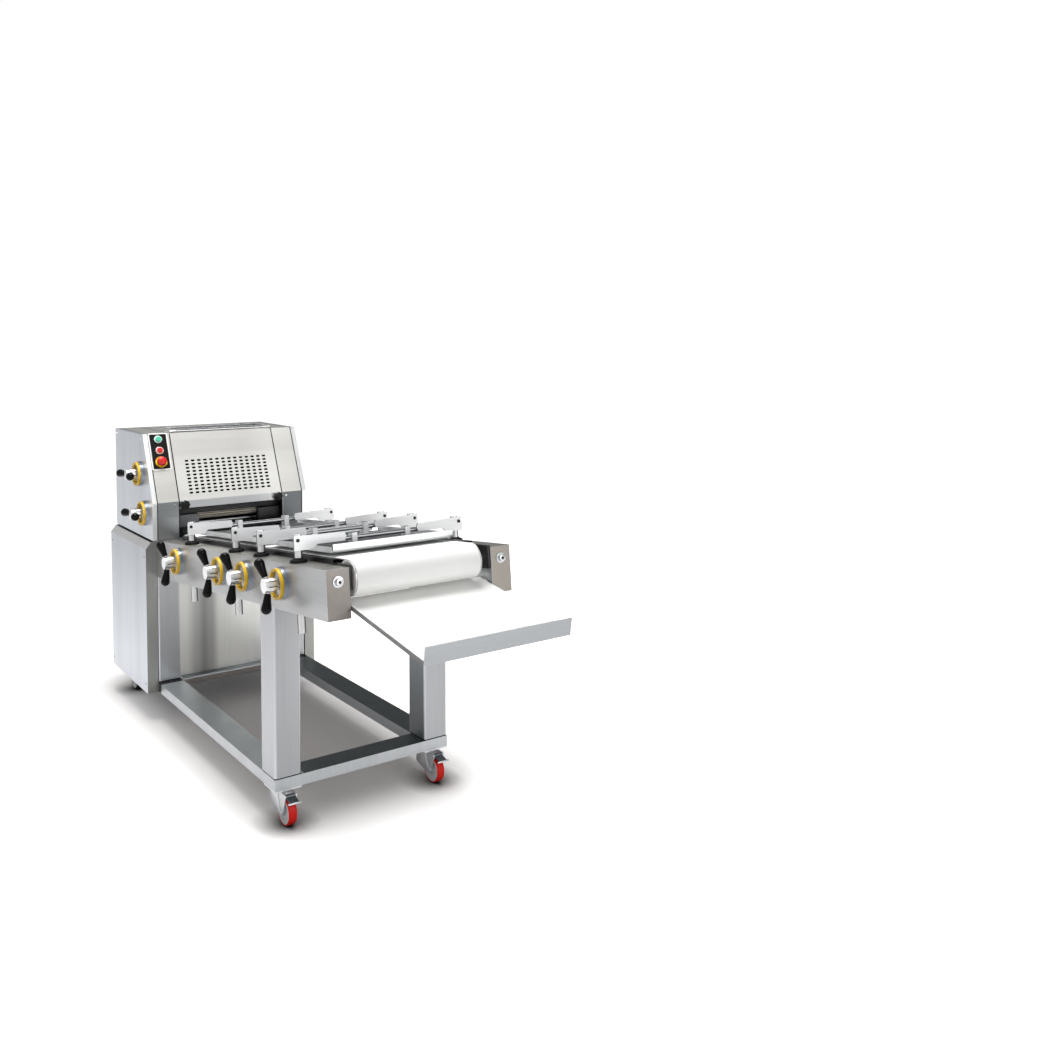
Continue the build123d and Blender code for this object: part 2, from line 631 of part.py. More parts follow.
# Guide bushes: black flanged seals on the boxes' tops, plain ones below
with BuildPart() as post_bushes:
    bush_radius = POST_RADIUS + BUSH_WALL
    for post_l in POST_L:
        for side in (-1, 1):
            with Locations(TABLE.location * Pos(side * BOX_X, post_l, 0)):
                Cylinder(SEAL_RADIUS, SEAL_HEIGHT, align=(Align.CENTER, Align.CENTER, Align.MIN))
                Cylinder(bush_radius, BUSH_LENGTH, align=(Align.CENTER, Align.CENTER, Align.MAX))
            with Locations(TABLE.location * Pos(side * BOX_X, post_l, -BOX_HEIGHT)):
                Cylinder(bush_radius, LOWER_BUSH_LENGTH, align=(Align.CENTER, Align.CENTER, Align.MIN))
                Cylinder(
                    bush_radius + BUSH_WALL,
                    LOWER_BUSH_FLANGE,
                    align=(Align.CENTER, Align.CENTER, Align.MAX),
                )
            with Locations(TABLE.location * Pos(side * BOX_X, post_l, -BOX_HEIGHT / 2)):
                Cylinder(POST_RADIUS + RUN_FIT, 2 * BOX_HEIGHT, mode=Mode.SUBTRACT)
post_bushes.part.label = "post_bushes"
export_step(post_bushes.part, "parts/post_bushes.step")

# Lifts: a pair of racked posts, their end brackets and the round bar that carries a board
for lift_name, post_l in zip(LIFT_NAMES, POST_L):
    with BuildPart() as lift:
        for side in (-1, 1):
            post_length = POST_TOP + BOX_HEIGHT + POST_BELOW
            with Locations(TABLE.location * Pos(side * BOX_X, post_l, POST_TOP)):
                Cylinder(POST_RADIUS, post_length, align=(Align.CENTER, Align.CENTER, Align.MAX))
            slab(
                TABLE,
                (side * BOX_X - RACK_WIDTH / 2, post_l, RACK_BOTTOM),
                (side * BOX_X + RACK_WIDTH / 2, post_l + POST_RADIUS + RACK_DEPTH, RACK_TOP),
            )
        ear_outer = BOX_X + CLAMP_HALF
        ear_inner = ear_outer - CLAMP_HALF - EAR_REACH
        for side in (-1, 1):
            ear_plane = Plane(
                origin=table_at(0, post_l - POST_RADIUS - RUN_FIT, 0),
                x_dir=(1, 0, 0),
                z_dir=(0, -COS_T, SIN_T),
            )
            with BuildSketch(ear_plane):
                with BuildLine():
                    Polyline(
                        (side * ear_outer, CLAMP_BOTTOM),
                        (side * ear_outer, EAR_TOP),
                        (side * ear_inner, EAR_TOP - EAR_THICK),
                        (side * (ear_inner - EAR_THICK), BAR_H + BAR_RADIUS),
                        (side * ear_inner, EAR_UNDERSIDE),
                        (side * (BOX_INNER - CLAMP_HALF), EAR_UNDERSIDE),
                        (side * (BOX_INNER - EAR_THICK), CLAMP_BOTTOM),
                        close=True,
                    )
                make_face()
            extrude(amount=EAR_THICK)
        bar_length = 2 * (BOX_X - POST_RADIUS - RUN_FIT)
        with Locations(table_across(0, post_l, BAR_H).location):
            Cylinder(BAR_RADIUS, bar_length)
    lift.part.label = f"{lift_name}_lift"
    export_step(lift.part, f"parts/{lift_name}_lift.step")

# Pressure boards: folded trays with a round nose, hung on the bars by slotted and bored hangers
pivot_bush_radius = BAR_RADIUS + PIVOT_BUSH_WALL
for board_name, (board_front, board_back), (slotted_l, bored_l) in (
    ("front_board", FRONT_BOARD, POST_L[:2]),
    ("rear_board", REAR_BOARD, POST_L[2:]),
):
    board_right = belt_left + BELT_WIDTH
    board_top = BOARD_H + BOARD_SHEET
    lip_top = BOARD_H + BOARD_LIP
    nose_l = board_front + BOARD_NOSE_RADIUS
    nose_h = BOARD_H + BOARD_NOSE_RADIUS
    with BuildPart() as board:
        with BuildSketch(table_across(belt_left, 0, 0)):
            with BuildLine():
                CenterArc((nose_l, nose_h), BOARD_NOSE_RADIUS, 180, 90)
                CenterArc((nose_l, nose_h), BOARD_NOSE_RADIUS - BOARD_SHEET, 180, 90)
                Polyline(
                    (nose_l, BOARD_H),
                    (board_back, BOARD_H),
                    (board_back, board_top),
                    (nose_l, board_top),
                )
                Polyline(
                    (board_front, nose_h),
                    (board_front, lip_top),
                    (board_front + BOARD_SHEET, lip_top),
                    (board_front + BOARD_SHEET, nose_h),
                )
            make_face()
        extrude(amount=BELT_WIDTH)
        for flange_x in (belt_left, board_right - BOARD_SHEET):
            slab(
                TABLE,
                (flange_x, nose_l, BOARD_H),
                (flange_x + BOARD_SHEET, board_back, BOARD_H + BOARD_FLANGE),
            )
        for bar_l, half in (
            (slotted_l, BAR_RADIUS + SLOT_PLAY + HANGER_WALL),
            (bored_l, pivot_bush_radius + HANGER_WALL),
        ):
            for side in (-1, 1):
                hanger_left = side * HANGER_X - HANGER_WIDTH / 2
                slab(
                    TABLE,
                    (hanger_left, bar_l - half, board_top),
                    (hanger_left + HANGER_WIDTH, bar_l + half, BAR_H + half),
                )
        with BuildSketch(table_across(-HANGER_X - HANGER_WIDTH, slotted_l, BAR_H)):
            SlotCenterToCenter(2 * SLOT_PLAY, 2 * (BAR_RADIUS + CURVE_GAP))
        extrude(amount=2 * (HANGER_X + HANGER_WIDTH), mode=Mode.SUBTRACT)
        with Locations(table_across(0, bored_l, BAR_H).location):
            Cylinder(pivot_bush_radius + RUN_FIT, 2 * (HANGER_X + HANGER_WIDTH), mode=Mode.SUBTRACT)
    board.part.label = board_name
    export_step(board.part, f"parts/{board_name}.step")

    with BuildPart() as pivot_bushes:
        for side in (-1, 1):
            with Locations(table_across(side * HANGER_X, bored_l, BAR_H).location):
                Cylinder(pivot_bush_radius, HANGER_WIDTH)
                Cylinder(BAR_RADIUS + RUN_FIT, HANGER_WIDTH, mode=Mode.SUBTRACT)
    pivot_bushes.part.label = f"{board_name}_bushes"
    export_step(pivot_bushes.part, f"parts/{board_name}_bushes.step")


# Handles: steel hub with two flared arms and black grips, over a flange and a yellow scale ring
def arm_planes(seat, turn):
    """The two planes whose normals run along a handle's arms, from a seat plane on the left face."""
    planes = []
    for way in (-1, 1):
        radial = (seat.x_dir * sin(radians(turn)) + seat.y_dir * cos(radians(turn))) * way
        along = radial * cos(radians(ARM_FLARE)) - seat.z_dir * sin(radians(ARM_FLARE))
        planes.append(
            Plane(origin=seat.origin - seat.z_dir * ARM_ROOT, x_dir=seat.z_dir.cross(radial), z_dir=along)
        )
    return planes


def handle_hub(seat, turn):
    """Adds a handle's fluted hub and its two arms."""
    with Locations(seat.location * Pos(0, 0, -HUB_INNER)):
        Cylinder(HUB_RADIUS, HUB_LENGTH, align=(Align.CENTER, Align.CENTER, Align.MAX))
        with PolarLocations(HUB_RADIUS, HUB_FLUTES, HUB_FLUTE_TURN):
            Box(
                2 * HUB_FLUTE_DEPTH,
                HUB_FLUTE_WIDTH,
                HUB_FLUTE_LENGTH,
                align=(Align.CENTER, Align.CENTER, Align.MAX),
                mode=Mode.SUBTRACT,
            )
    for plane in arm_planes(seat, turn):
        with Locations(plane.location):
            Cylinder(ARM_RADIUS, GRIP_START + GRIP_BORE, align=(Align.CENTER, Align.CENTER, Align.MIN))


def handle_grips(seat, turn):
    """Adds the two tapered grips that are pressed on a handle's arms."""
    for plane in arm_planes(seat, turn):
        with Locations(plane.offset(GRIP_START).location):
            Cone(
                GRIP_ROOT_RADIUS,
                GRIP_TIP_RADIUS,
                GRIP_LENGTH,
                align=(Align.CENTER, Align.CENTER, Align.MIN),
            )
        with Locations(plane.offset(GRIP_END).location):
            Sphere(GRIP_TIP_RADIUS)
        with Locations(plane.location):
            Cylinder(
                ARM_RADIUS + RUN_FIT,
                GRIP_START + GRIP_BORE,
                align=(Align.CENTER, Align.CENTER, Align.MIN),
                mode=Mode.SUBTRACT,
            )


table_seats = [table_across(-HALF_WIDTH, post_l + SPINDLE_SETBACK, HANDLE_H) for post_l in POST_L]
head_seats = [across(HEAD_LEFT, *UPPER_HANDLE_YZ), across(HEAD_LEFT, *LOWER_HANDLE_YZ)]
for lift_name, seat in zip(LIFT_NAMES, table_seats):
    with BuildPart() as handle:
        handle_hub(seat, ARM_TURN)
        spindle_length = HUB_INNER + HALF_WIDTH + BOX_X + PINION_WIDTH / 2
        with Locations(seat.location * Pos(0, 0, -HUB_INNER)):
            Cylinder(SPINDLE_RADIUS, spindle_length, align=(Align.CENTER, Align.CENTER, Align.MIN))
        for side in (-1, 1):
            with Locations(seat.location * Pos(0, 0, HALF_WIDTH + side * BOX_X)):
                Cylinder(PINION_RADIUS, PINION_WIDTH)
    handle.part.label = f"{lift_name}_handle"
    export_step(handle.part, f"parts/{lift_name}_handle.step")

    with BuildPart() as grips:
        handle_grips(seat, ARM_TURN)
    grips.part.label = f"{lift_name}_grips"
    export_step(grips.part, f"parts/{lift_name}_grips.step")

with BuildPart() as handle_flanges:
    for seat in table_seats + head_seats:
        with Locations(seat.location):
            Cylinder(FLANGE_RADIUS, FLANGE_THICK, align=(Align.CENTER, Align.CENTER, Align.MAX))
            Cylinder(SPINDLE_RADIUS + RUN_FIT, 3 * FLANGE_THICK, mode=Mode.SUBTRACT)
handle_flanges.part.label = "handle_flanges"
export_step(handle_flanges.part, "parts/handle_flanges.step")

with BuildPart() as yellow_rings:
    for seat in table_seats + head_seats:
        with Locations(seat.location * Pos(0, 0, -FLANGE_THICK)):
            Cylinder(RING_OUTER, RING_THICK, align=(Align.CENTER, Align.CENTER, Align.MAX))
            Cylinder(RING_INNER, 3 * RING_THICK, mode=Mode.SUBTRACT)
    with Locations(SLOPE.location * Pos(PLATE_X, EMERGENCY_S, PLATE_THICK)):
        Cylinder(COLLAR_RADIUS, COLLAR_THICK, align=(Align.CENTER, Align.CENTER, Align.MIN))
        Cylinder(BUTTON_STEM + RUN_FIT, 3 * COLLAR_THICK, mode=Mode.SUBTRACT)
yellow_rings.part.label = "yellow_rings"
export_step(yellow_rings.part, "parts/yellow_rings.step")

# Discharge tray and its steel lip
tray_foot_y = -TRAY_REACH
tray_foot_y += (LIP_SHEET + WELD_GAP) * cos(radians(TRAY_SLOPE)) + LIP_HEIGHT * sin(radians(TRAY_SLOPE))
tray_length = (TRAY_LAP - TABLE_NOSE - tray_foot_y) / cos(radians(TRAY_SLOPE))
tray_foot_z = TABLE_TOP - TRAY_ROOT_DROP - tray_length * sin(radians(TRAY_SLOPE))
TRAY = Plane(
    origin=at(0, tray_foot_y, tray_foot_z),
    x_dir=(1, 0, 0),
    z_dir=(0, -sin(radians(TRAY_SLOPE)), cos(radians(TRAY_SLOPE))),
)
with BuildPart() as discharge_tray:
    slab(TRAY, (-TRAY_HALF_WIDTH, 0, -SHEET), (TRAY_HALF_WIDTH, tray_length, 0))
    for side in (-1, 1):
        flange = sorted((side * TRAY_HALF_WIDTH, side * (TRAY_HALF_WIDTH - SHEET)))
        slab(TRAY, (flange[0], 0, -TRAY_FLANGE), (flange[1], tray_length, 0))
        tab = sorted((side * (TRAY_HALF_WIDTH - SHEET), side * (BOX_INNER - WELD_GAP)))
        slab(TRAY, (tab[0], tray_length - TAB_LENGTH, -TAB_HEIGHT), (tab[1], tray_length, 0))
discharge_tray.part.label = "discharge_tray"
export_step(discharge_tray.part, "parts/discharge_tray.step")

with BuildPart() as tray_lip:
    slab(
        TRAY,
        (-TRAY_HALF_WIDTH, -LIP_SHEET - WELD_GAP, -TRAY_FLANGE),
        (TRAY_HALF_WIDTH, -WELD_GAP, LIP_HEIGHT),
    )
tray_lip.part.label = "tray_lip"
export_step(tray_lip.part, "parts/tray_lip.step")


# Head casing: tray-shaped side panels with folded fronts between them
def slope_at(s, depth):
    """The y and z of a point up the head's sloping front, a depth behind its face."""
    a = radians(HEAD_SLOPE)
    return (HEAD_FRONT + s * sin(a) + depth * cos(a), FOLD_Z + s * cos(a) - depth * sin(a))


def fold_at(depth):
    """The y and z of the front fold, a depth behind its face."""
    return (HEAD_FRONT + depth, FOLD_Z - depth * tan(radians(HEAD_SLOPE / 2)))


head_outline = [
    (HEAD_FRONT, HEAD_BASE + WELD_GAP),
    fold_at(0),
    slope_at(SLOPE_LENGTH, 0),
    (BODY_REACH, HEAD_TOP),
    (BODY_REACH, HEAD_BASE + WELD_GAP),
]
for side_name, outer_x, inner_x, bore_seats in (
    ("left", HEAD_LEFT, HEAD_LEFT + SHEET, head_seats),
    ("right", HEAD_RIGHT - SIDE_DEPTH, HEAD_RIGHT - SIDE_DEPTH, []),
):
    with BuildPart() as head_side:
        with BuildSketch(across(outer_x, 0, 0)):
            with BuildLine():
                Polyline(*head_outline, close=True)
            make_face()
        extrude(amount=SIDE_DEPTH)
        with BuildSketch(across(inner_x, 0, 0)):
            with BuildLine():
                Polyline(*head_outline, close=True)
            make_face()
            offset(amount=-SHEET, kind=Kind.INTERSECTION, mode=Mode.REPLACE)
        extrude(amount=SIDE_DEPTH - SHEET, mode=Mode.SUBTRACT)
        for seat in bore_seats:
            with Locations(seat.location):
                Cylinder(SPINDLE_RADIUS + RUN_FIT, 4 * SHEET, mode=Mode.SUBTRACT)
    head_side.part.label = f"head_{side_name}_side"
    export_step(head_side.part, f"parts/head_{side_name}_side.step")


def front_sheet(left, right, foot):
    """Adds a front sheet folded along the head's slope, between two x values and down to a foot height."""
    with BuildSketch(across(left, 0, 0)) as section:
        with BuildLine():
            Polyline(
                (HEAD_FRONT, foot),
                fold_at(0),
                slope_at(SLOPE_LENGTH, 0),
                slope_at(SLOPE_LENGTH, SHEET),
                fold_at(SHEET),
                (HEAD_FRONT + SHEET, foot),
                close=True,
            )
        make_face()
    extrude(section.sketch, amount=right - left)


with BuildPart() as front_fascias:
    fascia_foot = HEAD_BASE + WELD_GAP
    front_sheet(HEAD_LEFT + SIDE_DEPTH + WELD_GAP, MOUTH_LEFT - WELD_GAP, fascia_foot)
    front_sheet(MOUTH_RIGHT + WELD_GAP, HEAD_RIGHT - SIDE_DEPTH - WELD_GAP, fascia_foot)
    with Locations(*[SLOPE.location * Pos(PLATE_X, s, 0) for s in (START_S, STOP_S, EMERGENCY_S)]):
        Cylinder(BUTTON_STEM + RUN_FIT, 4 * SHEET, mode=Mode.SUBTRACT)
front_fascias.part.label = "front_fascias"
export_step(front_fascias.part, "parts/front_fascias.step")

hinge_y, hinge_z = slope_at(SLOPE_LENGTH + HINGE_RISE, SHEET / 2)
guard_left = MOUTH_LEFT + GUARD_GAP
guard_right = MOUTH_RIGHT - GUARD_GAP
with BuildPart() as head_top:
    top_front = slope_at(SLOPE_LENGTH, 0)[0] + SHEET / cos(radians(HEAD_SLOPE)) + WELD_GAP
    slab(
        FLOOR,
        (HEAD_LEFT + SIDE_DEPTH + WELD_GAP, top_front, HEAD_TOP - SHEET),
        (HEAD_RIGHT - SIDE_DEPTH - WELD_GAP, BODY_REACH, HEAD_TOP),
    )
    infeed_y = top_front + INFEED_FRONT
    infeed_left = MOUTH_LEFT + INFEED_SIDE
    infeed_right = MOUTH_RIGHT - INFEED_SIDE
    slab(
        FLOOR,
        (infeed_left - SHEET, infeed_y - SHEET, HEAD_TOP - SHEET),
        (infeed_right + SHEET, infeed_y + INFEED_LENGTH + SHEET, HEAD_TOP + INFEED_RIM),
    )
    with Locations(at((infeed_left + infeed_right) / 2, infeed_y + INFEED_LENGTH / 2, HEAD_TOP)):
        Box(infeed_right - infeed_left, INFEED_LENGTH, 4 * INFEED_RIM, mode=Mode.SUBTRACT)
    for lug_left in (guard_left, guard_right - KNUCKLE_LENGTH):
        slab(
            FLOOR,
            (lug_left, top_front, HEAD_TOP - SHEET),
            (lug_left + KNUCKLE_LENGTH, hinge_y + KNUCKLE_RADIUS, hinge_z),
        )
        with Locations(across(lug_left, hinge_y, hinge_z).location):
            Cylinder(KNUCKLE_RADIUS, KNUCKLE_LENGTH, align=(Align.CENTER, Align.CENTER, Align.MIN))
    with Locations(across(guard_left, hinge_y, hinge_z).location):
        Cylinder(HINGE_PIN_RADIUS, guard_right - guard_left, align=(Align.CENTER, Align.CENTER, Align.MIN))
head_top.part.label = "head_top"
export_step(head_top.part, "parts/head_top.step")

# Slotted guard, hinged at its top edge and held shut by two knobs
knob_z = FOLD_Z - GUARD_LIP / 2
knob_xs = (MOUTH_LEFT + KNOB_EDGE, MOUTH_RIGHT - KNOB_EDGE)
knob_planes = [Plane(origin=at(x, HEAD_FRONT, knob_z), x_dir=(1, 0, 0), z_dir=(0, -1, 0)) for x in knob_xs]
with BuildPart() as slotted_guard:
    front_sheet(guard_left, guard_right, FOLD_Z - GUARD_LIP)
    leaf_left = guard_left + KNUCKLE_LENGTH + HUB_GAP
    leaf_right = guard_right - KNUCKLE_LENGTH - HUB_GAP
    slab(
        SLOPE,
        (leaf_left, SLOPE_LENGTH - SHEET, -SHEET),
        (leaf_right, SLOPE_LENGTH + HINGE_RISE, 0),
    )
    with Locations(across(leaf_left, hinge_y, hinge_z).location):
        Cylinder(KNUCKLE_RADIUS, leaf_right - leaf_left, align=(Align.CENTER, Align.CENTER, Align.MIN))
        Cylinder(
            HINGE_PIN_RADIUS + RUN_FIT,
            leaf_right - leaf_left,
            align=(Align.CENTER, Align.CENTER, Align.MIN),
            mode=Mode.SUBTRACT,
        )
    with BuildSketch(SLOPE):
        with Locations((SLOT_CENTRE_X, SLOT_CENTRE_S)):
            with GridLocations(SLOT_PITCH_X, SLOT_PITCH_S, SLOT_COLUMNS, SLOT_ROWS):
                SlotOverall(SLOT_LENGTH, SLOT_HEIGHT)
    extrude(amount=-2 * SHEET, mode=Mode.SUBTRACT)
    for plane in knob_planes:
        with Locations(plane.location):
            Cylinder(KNOB_STEM + RUN_FIT, 4 * SHEET, mode=Mode.SUBTRACT)
slotted_guard.part.label = "slotted_guard"
export_step(slotted_guard.part, "parts/slotted_guard.step")

for side_name, plane in zip(("left", "right"), knob_planes):
    with BuildPart() as guard_knob:
        with Locations(plane.offset(CURVE_GAP).location):
            Cylinder(KNOB_RADIUS, KNOB_HEIGHT, align=(Align.CENTER, Align.CENTER, Align.MIN))
        fillet(guard_knob.edges().sort_by(Axis.Y)[0], SHEET)
        with Locations(plane.offset(CURVE_GAP).location):
            Cylinder(KNOB_STEM, KNOB_STEM_LENGTH, align=(Align.CENTER, Align.CENTER, Align.MAX))
    guard_knob.part.label = f"guard_knob_{side_name}"
    export_step(guard_knob.part, f"parts/guard_knob_{side_name}.step")

# Control plate and its buttons
with BuildPart() as control_plate:
    with BuildSketch(SLOPE):
        with Locations((PLATE_X, PLATE_S)):
            RectangleRounded(PLATE_WIDTH, PLATE_LENGTH, PLATE_ROUND)
        with Locations((PLATE_X, START_S), (PLATE_X, STOP_S), (PLATE_X, EMERGENCY_S)):
            Circle(BUTTON_STEM + RUN_FIT, mode=Mode.SUBTRACT)
    extrude(amount=PLATE_THICK)
control_plate.part.label = "control_plate"
export_step(control_plate.part, "parts/control_plate.step")

for button_name, button_s, seat_out, radius, height, travel in (
    ("start_button", START_S, PLATE_THICK, BUTTON_RADIUS, BUTTON_HEIGHT, BUTTON_TRAVEL),
    ("stop_button", STOP_S, PLATE_THICK, BUTTON_RADIUS, BUTTON_HEIGHT, BUTTON_TRAVEL),
    (
        "emergency_button",
        EMERGENCY_S,
        PLATE_THICK + COLLAR_THICK,
        EMERGENCY_RADIUS,
        EMERGENCY_HEIGHT,
        EMERGENCY_TRAVEL,
    ),
):
    with BuildPart() as button:
        head_low = seat_out + travel + CURVE_GAP
        with Locations(SLOPE.location * Pos(PLATE_X, button_s, head_low)):
            Cylinder(radius, height, align=(Align.CENTER, Align.CENTER, Align.MIN))
            Cylinder(
                BUTTON_STEM,
                head_low + BUTTON_STEM_LENGTH,
                align=(Align.CENTER, Align.CENTER, Align.MAX),
            )
    button.part.label = button_name
    export_step(button.part, f"parts/{button_name}.step")

# Sheeting rollers: the middle one is driven, the other two turn in eccentrics set by the head's handles
roller_reach = sqrt((2 * ROLLER_RADIUS + ROLLER_GAP) ** 2 - ECCENTRICITY**2)
chord_y = UPPER_HANDLE_YZ[0] - LOWER_HANDLE_YZ[0]
chord_z = UPPER_HANDLE_YZ[1] - LOWER_HANDLE_YZ[1]
chord = hypot(chord_y, chord_z)
apex = sqrt(roller_reach**2 - (chord / 2) ** 2)
middle_y = (UPPER_HANDLE_YZ[0] + LOWER_HANDLE_YZ[0]) / 2 - apex * chord_z / chord
middle_z = (UPPER_HANDLE_YZ[1] + LOWER_HANDLE_YZ[1]) / 2 + apex * chord_y / chord
roller_left = MOUTH_LEFT + ROLLER_END_GAP
roller_right = MOUTH_RIGHT - ROLLER_END_GAP
roller_length = roller_right - roller_left
plate_left = MOUTH_LEFT - INNER_PLATE
plate_right = MOUTH_RIGHT + INNER_PLATE


def roller_axis(handle_yz):
    """The y and z of the roller carried by an eccentric, off its handle's axis."""
    away_y = (handle_yz[0] - middle_y) / roller_reach
    away_z = (handle_yz[1] - middle_z) / roller_reach
    return (handle_yz[0] - ECCENTRICITY * away_z, handle_yz[1] + ECCENTRICITY * away_y)


def cylinder_across(left, right, yz, radius, mode=Mode.ADD):
    """Adds or cuts a cylinder along X between two x values."""
    with Locations(across((left + right) / 2, *yz).location):
        Cylinder(radius, right - left, mode=mode)


for roller_name, handle_yz, seat in (
    ("upper", UPPER_HANDLE_YZ, head_seats[0]),
    ("lower", LOWER_HANDLE_YZ, head_seats[1]),
):
    axis_yz = roller_axis(handle_yz)
    tie_yz = (
        handle_yz[0] + LINK_REACH * (handle_yz[0] - middle_y) / roller_reach,
        handle_yz[1] + LINK_REACH * (handle_yz[1] - middle_z) / roller_reach,
    )
    link_left = MOUTH_LEFT + CURVE_GAP
    link_right = MOUTH_RIGHT - CURVE_GAP
    with BuildPart() as gap_handle:
        handle_hub(seat, HEAD_ARM_TURN)
        cylinder_across(HEAD_LEFT - HUB_INNER, plate_left, handle_yz, SPINDLE_RADIUS)
        cylinder_across(plate_left, link_left, handle_yz, ECCENTRIC_RADIUS)
        cylinder_across(link_right, plate_right, handle_yz, ECCENTRIC_RADIUS)
        for link_x in (link_left, link_right - LINK_THICK):
            with BuildSketch(across(link_x, 0, 0)):
                with Locations(handle_yz):
                    Circle(LINK_HEAD_RADIUS)
                with Locations(tie_yz):
                    Circle(LINK_WIDTH / 2)
                make_hull()
            extrude(amount=LINK_THICK)
        cylinder_across(link_left, link_right, tie_yz, TIE_RADIUS)
        journal_hole = JOURNAL_RADIUS + RUN_FIT
        cylinder_across(plate_left + SHEET, link_left + LINK_THICK, axis_yz, journal_hole, Mode.SUBTRACT)
        cylinder_across(link_right - LINK_THICK, plate_right - SHEET, axis_yz, journal_hole, Mode.SUBTRACT)
    gap_handle.part.label = f"{roller_name}_gap_handle"
    export_step(gap_handle.part, f"parts/{roller_name}_gap_handle.step")

    with BuildPart() as grips:
        handle_grips(seat, HEAD_ARM_TURN)
    grips.part.label = f"{roller_name}_gap_grips"
    export_step(grips.part, f"parts/{roller_name}_gap_grips.step")

    with BuildPart() as roller:
        cylinder_across(roller_left, roller_right, axis_yz, ROLLER_RADIUS)
        if roller_name == "lower":
            with Locations(across((roller_left + roller_right) / 2, *axis_yz).location):
                with PolarLocations(ROLLER_RADIUS, FLUTES):
                    Cylinder(FLUTE_RADIUS, roller_length, mode=Mode.SUBTRACT)
        cylinder_across(
            plate_left + SHEET + WELD_GAP,
            plate_right - SHEET - WELD_GAP,
            axis_yz,
            JOURNAL_RADIUS,
        )
    roller.part.label = f"{roller_name}_roller"
    export_step(roller.part, f"parts/{roller_name}_roller.step")

with BuildPart() as middle_roller:
    cylinder_across(roller_left, roller_right, (middle_y, middle_z), ROLLER_RADIUS)
    cylinder_across(plate_left, plate_right + GEARBOX_WIDTH - SHEET, (middle_y, middle_z), JOURNAL_RADIUS)
middle_roller.part.label = "middle_roller"
export_step(middle_roller.part, "parts/middle_roller.step")

# Inner bearing plates and the chute that leads the dough sheet to the belt
inner_top = HEAD_TOP - SHEET - INNER_TOP_GAP
inner_top_s = (inner_top - FOLD_Z) / cos(radians(HEAD_SLOPE))
inner_top_y = slope_at(inner_top_s, 0)[0] + INNER_SETBACK / cos(radians(HEAD_SLOPE))
motor_yz = (BODY_REACH - MOTOR_BACK_GAP - MOTOR_RADIUS, middle_z)
motor_setback = motor_yz[0] - middle_y
with BuildPart() as head_inner_plates:
    for plate_x in (plate_left, MOUTH_RIGHT):
        with BuildSketch(across(plate_x, 0, 0)):
            with BuildLine():
                Polyline(
                    (HEAD_FRONT + INNER_SETBACK, HEAD_BASE + WELD_GAP),
                    fold_at(INNER_SETBACK),
                    (inner_top_y, inner_top),
                    (BODY_REACH - SHEET - WELD_GAP, inner_top),
                    (BODY_REACH - SHEET - WELD_GAP, HEAD_BASE + WELD_GAP),
                    close=True,
                )
            make_face()
            with Locations(UPPER_HANDLE_YZ, LOWER_HANDLE_YZ):
                Circle(ECCENTRIC_RADIUS + RUN_FIT, mode=Mode.SUBTRACT)
            with Locations((middle_y, middle_z)):
                Circle(JOURNAL_RADIUS + RUN_FIT, mode=Mode.SUBTRACT)
            if plate_x > 0:
                with Locations(motor_yz):
                    Circle(MOTOR_RADIUS + MOTOR_HOLE_GAP, mode=Mode.SUBTRACT)
        extrude(amount=INNER_PLATE)
    with BuildSketch(across(MOUTH_LEFT + WELD_GAP, 0, 0)):
        with BuildLine():
            Polyline(
                CHUTE_FOOT,
                CHUTE_TOP,
                (CHUTE_TOP[0], CHUTE_TOP[1] + CHUTE_SHEET),
                (CHUTE_FOOT[0], CHUTE_FOOT[1] + CHUTE_SHEET),
                close=True,
            )
        make_face()
    extrude(amount=MOUTH_RIGHT - MOUTH_LEFT - 2 * WELD_GAP)
head_inner_plates.part.label = "head_inner_plates"
export_step(head_inner_plates.part, "parts/head_inner_plates.step")

# Gearmotor on the right inner plate, with the middle roller's journal in its hollow shaft
with BuildPart() as gearmotor:
    with BuildSketch(across(plate_right + WELD_GAP, middle_y + motor_setback / 2, middle_z)):
        SlotCenterToCenter(motor_setback, GEARBOX_HEIGHT)
    extrude(amount=GEARBOX_WIDTH)
    cylinder_across(plate_right + WELD_GAP - MOTOR_LENGTH, plate_right + WELD_GAP, motor_yz, MOTOR_RADIUS)
    cylinder_across(
        plate_right,
        plate_right + GEARBOX_WIDTH + SHEET,
        (middle_y, middle_z),
        JOURNAL_RADIUS + RUN_FIT,
        Mode.SUBTRACT,
    )
gearmotor.part.label = "gearmotor"
export_step(gearmotor.part, "parts/gearmotor.step")

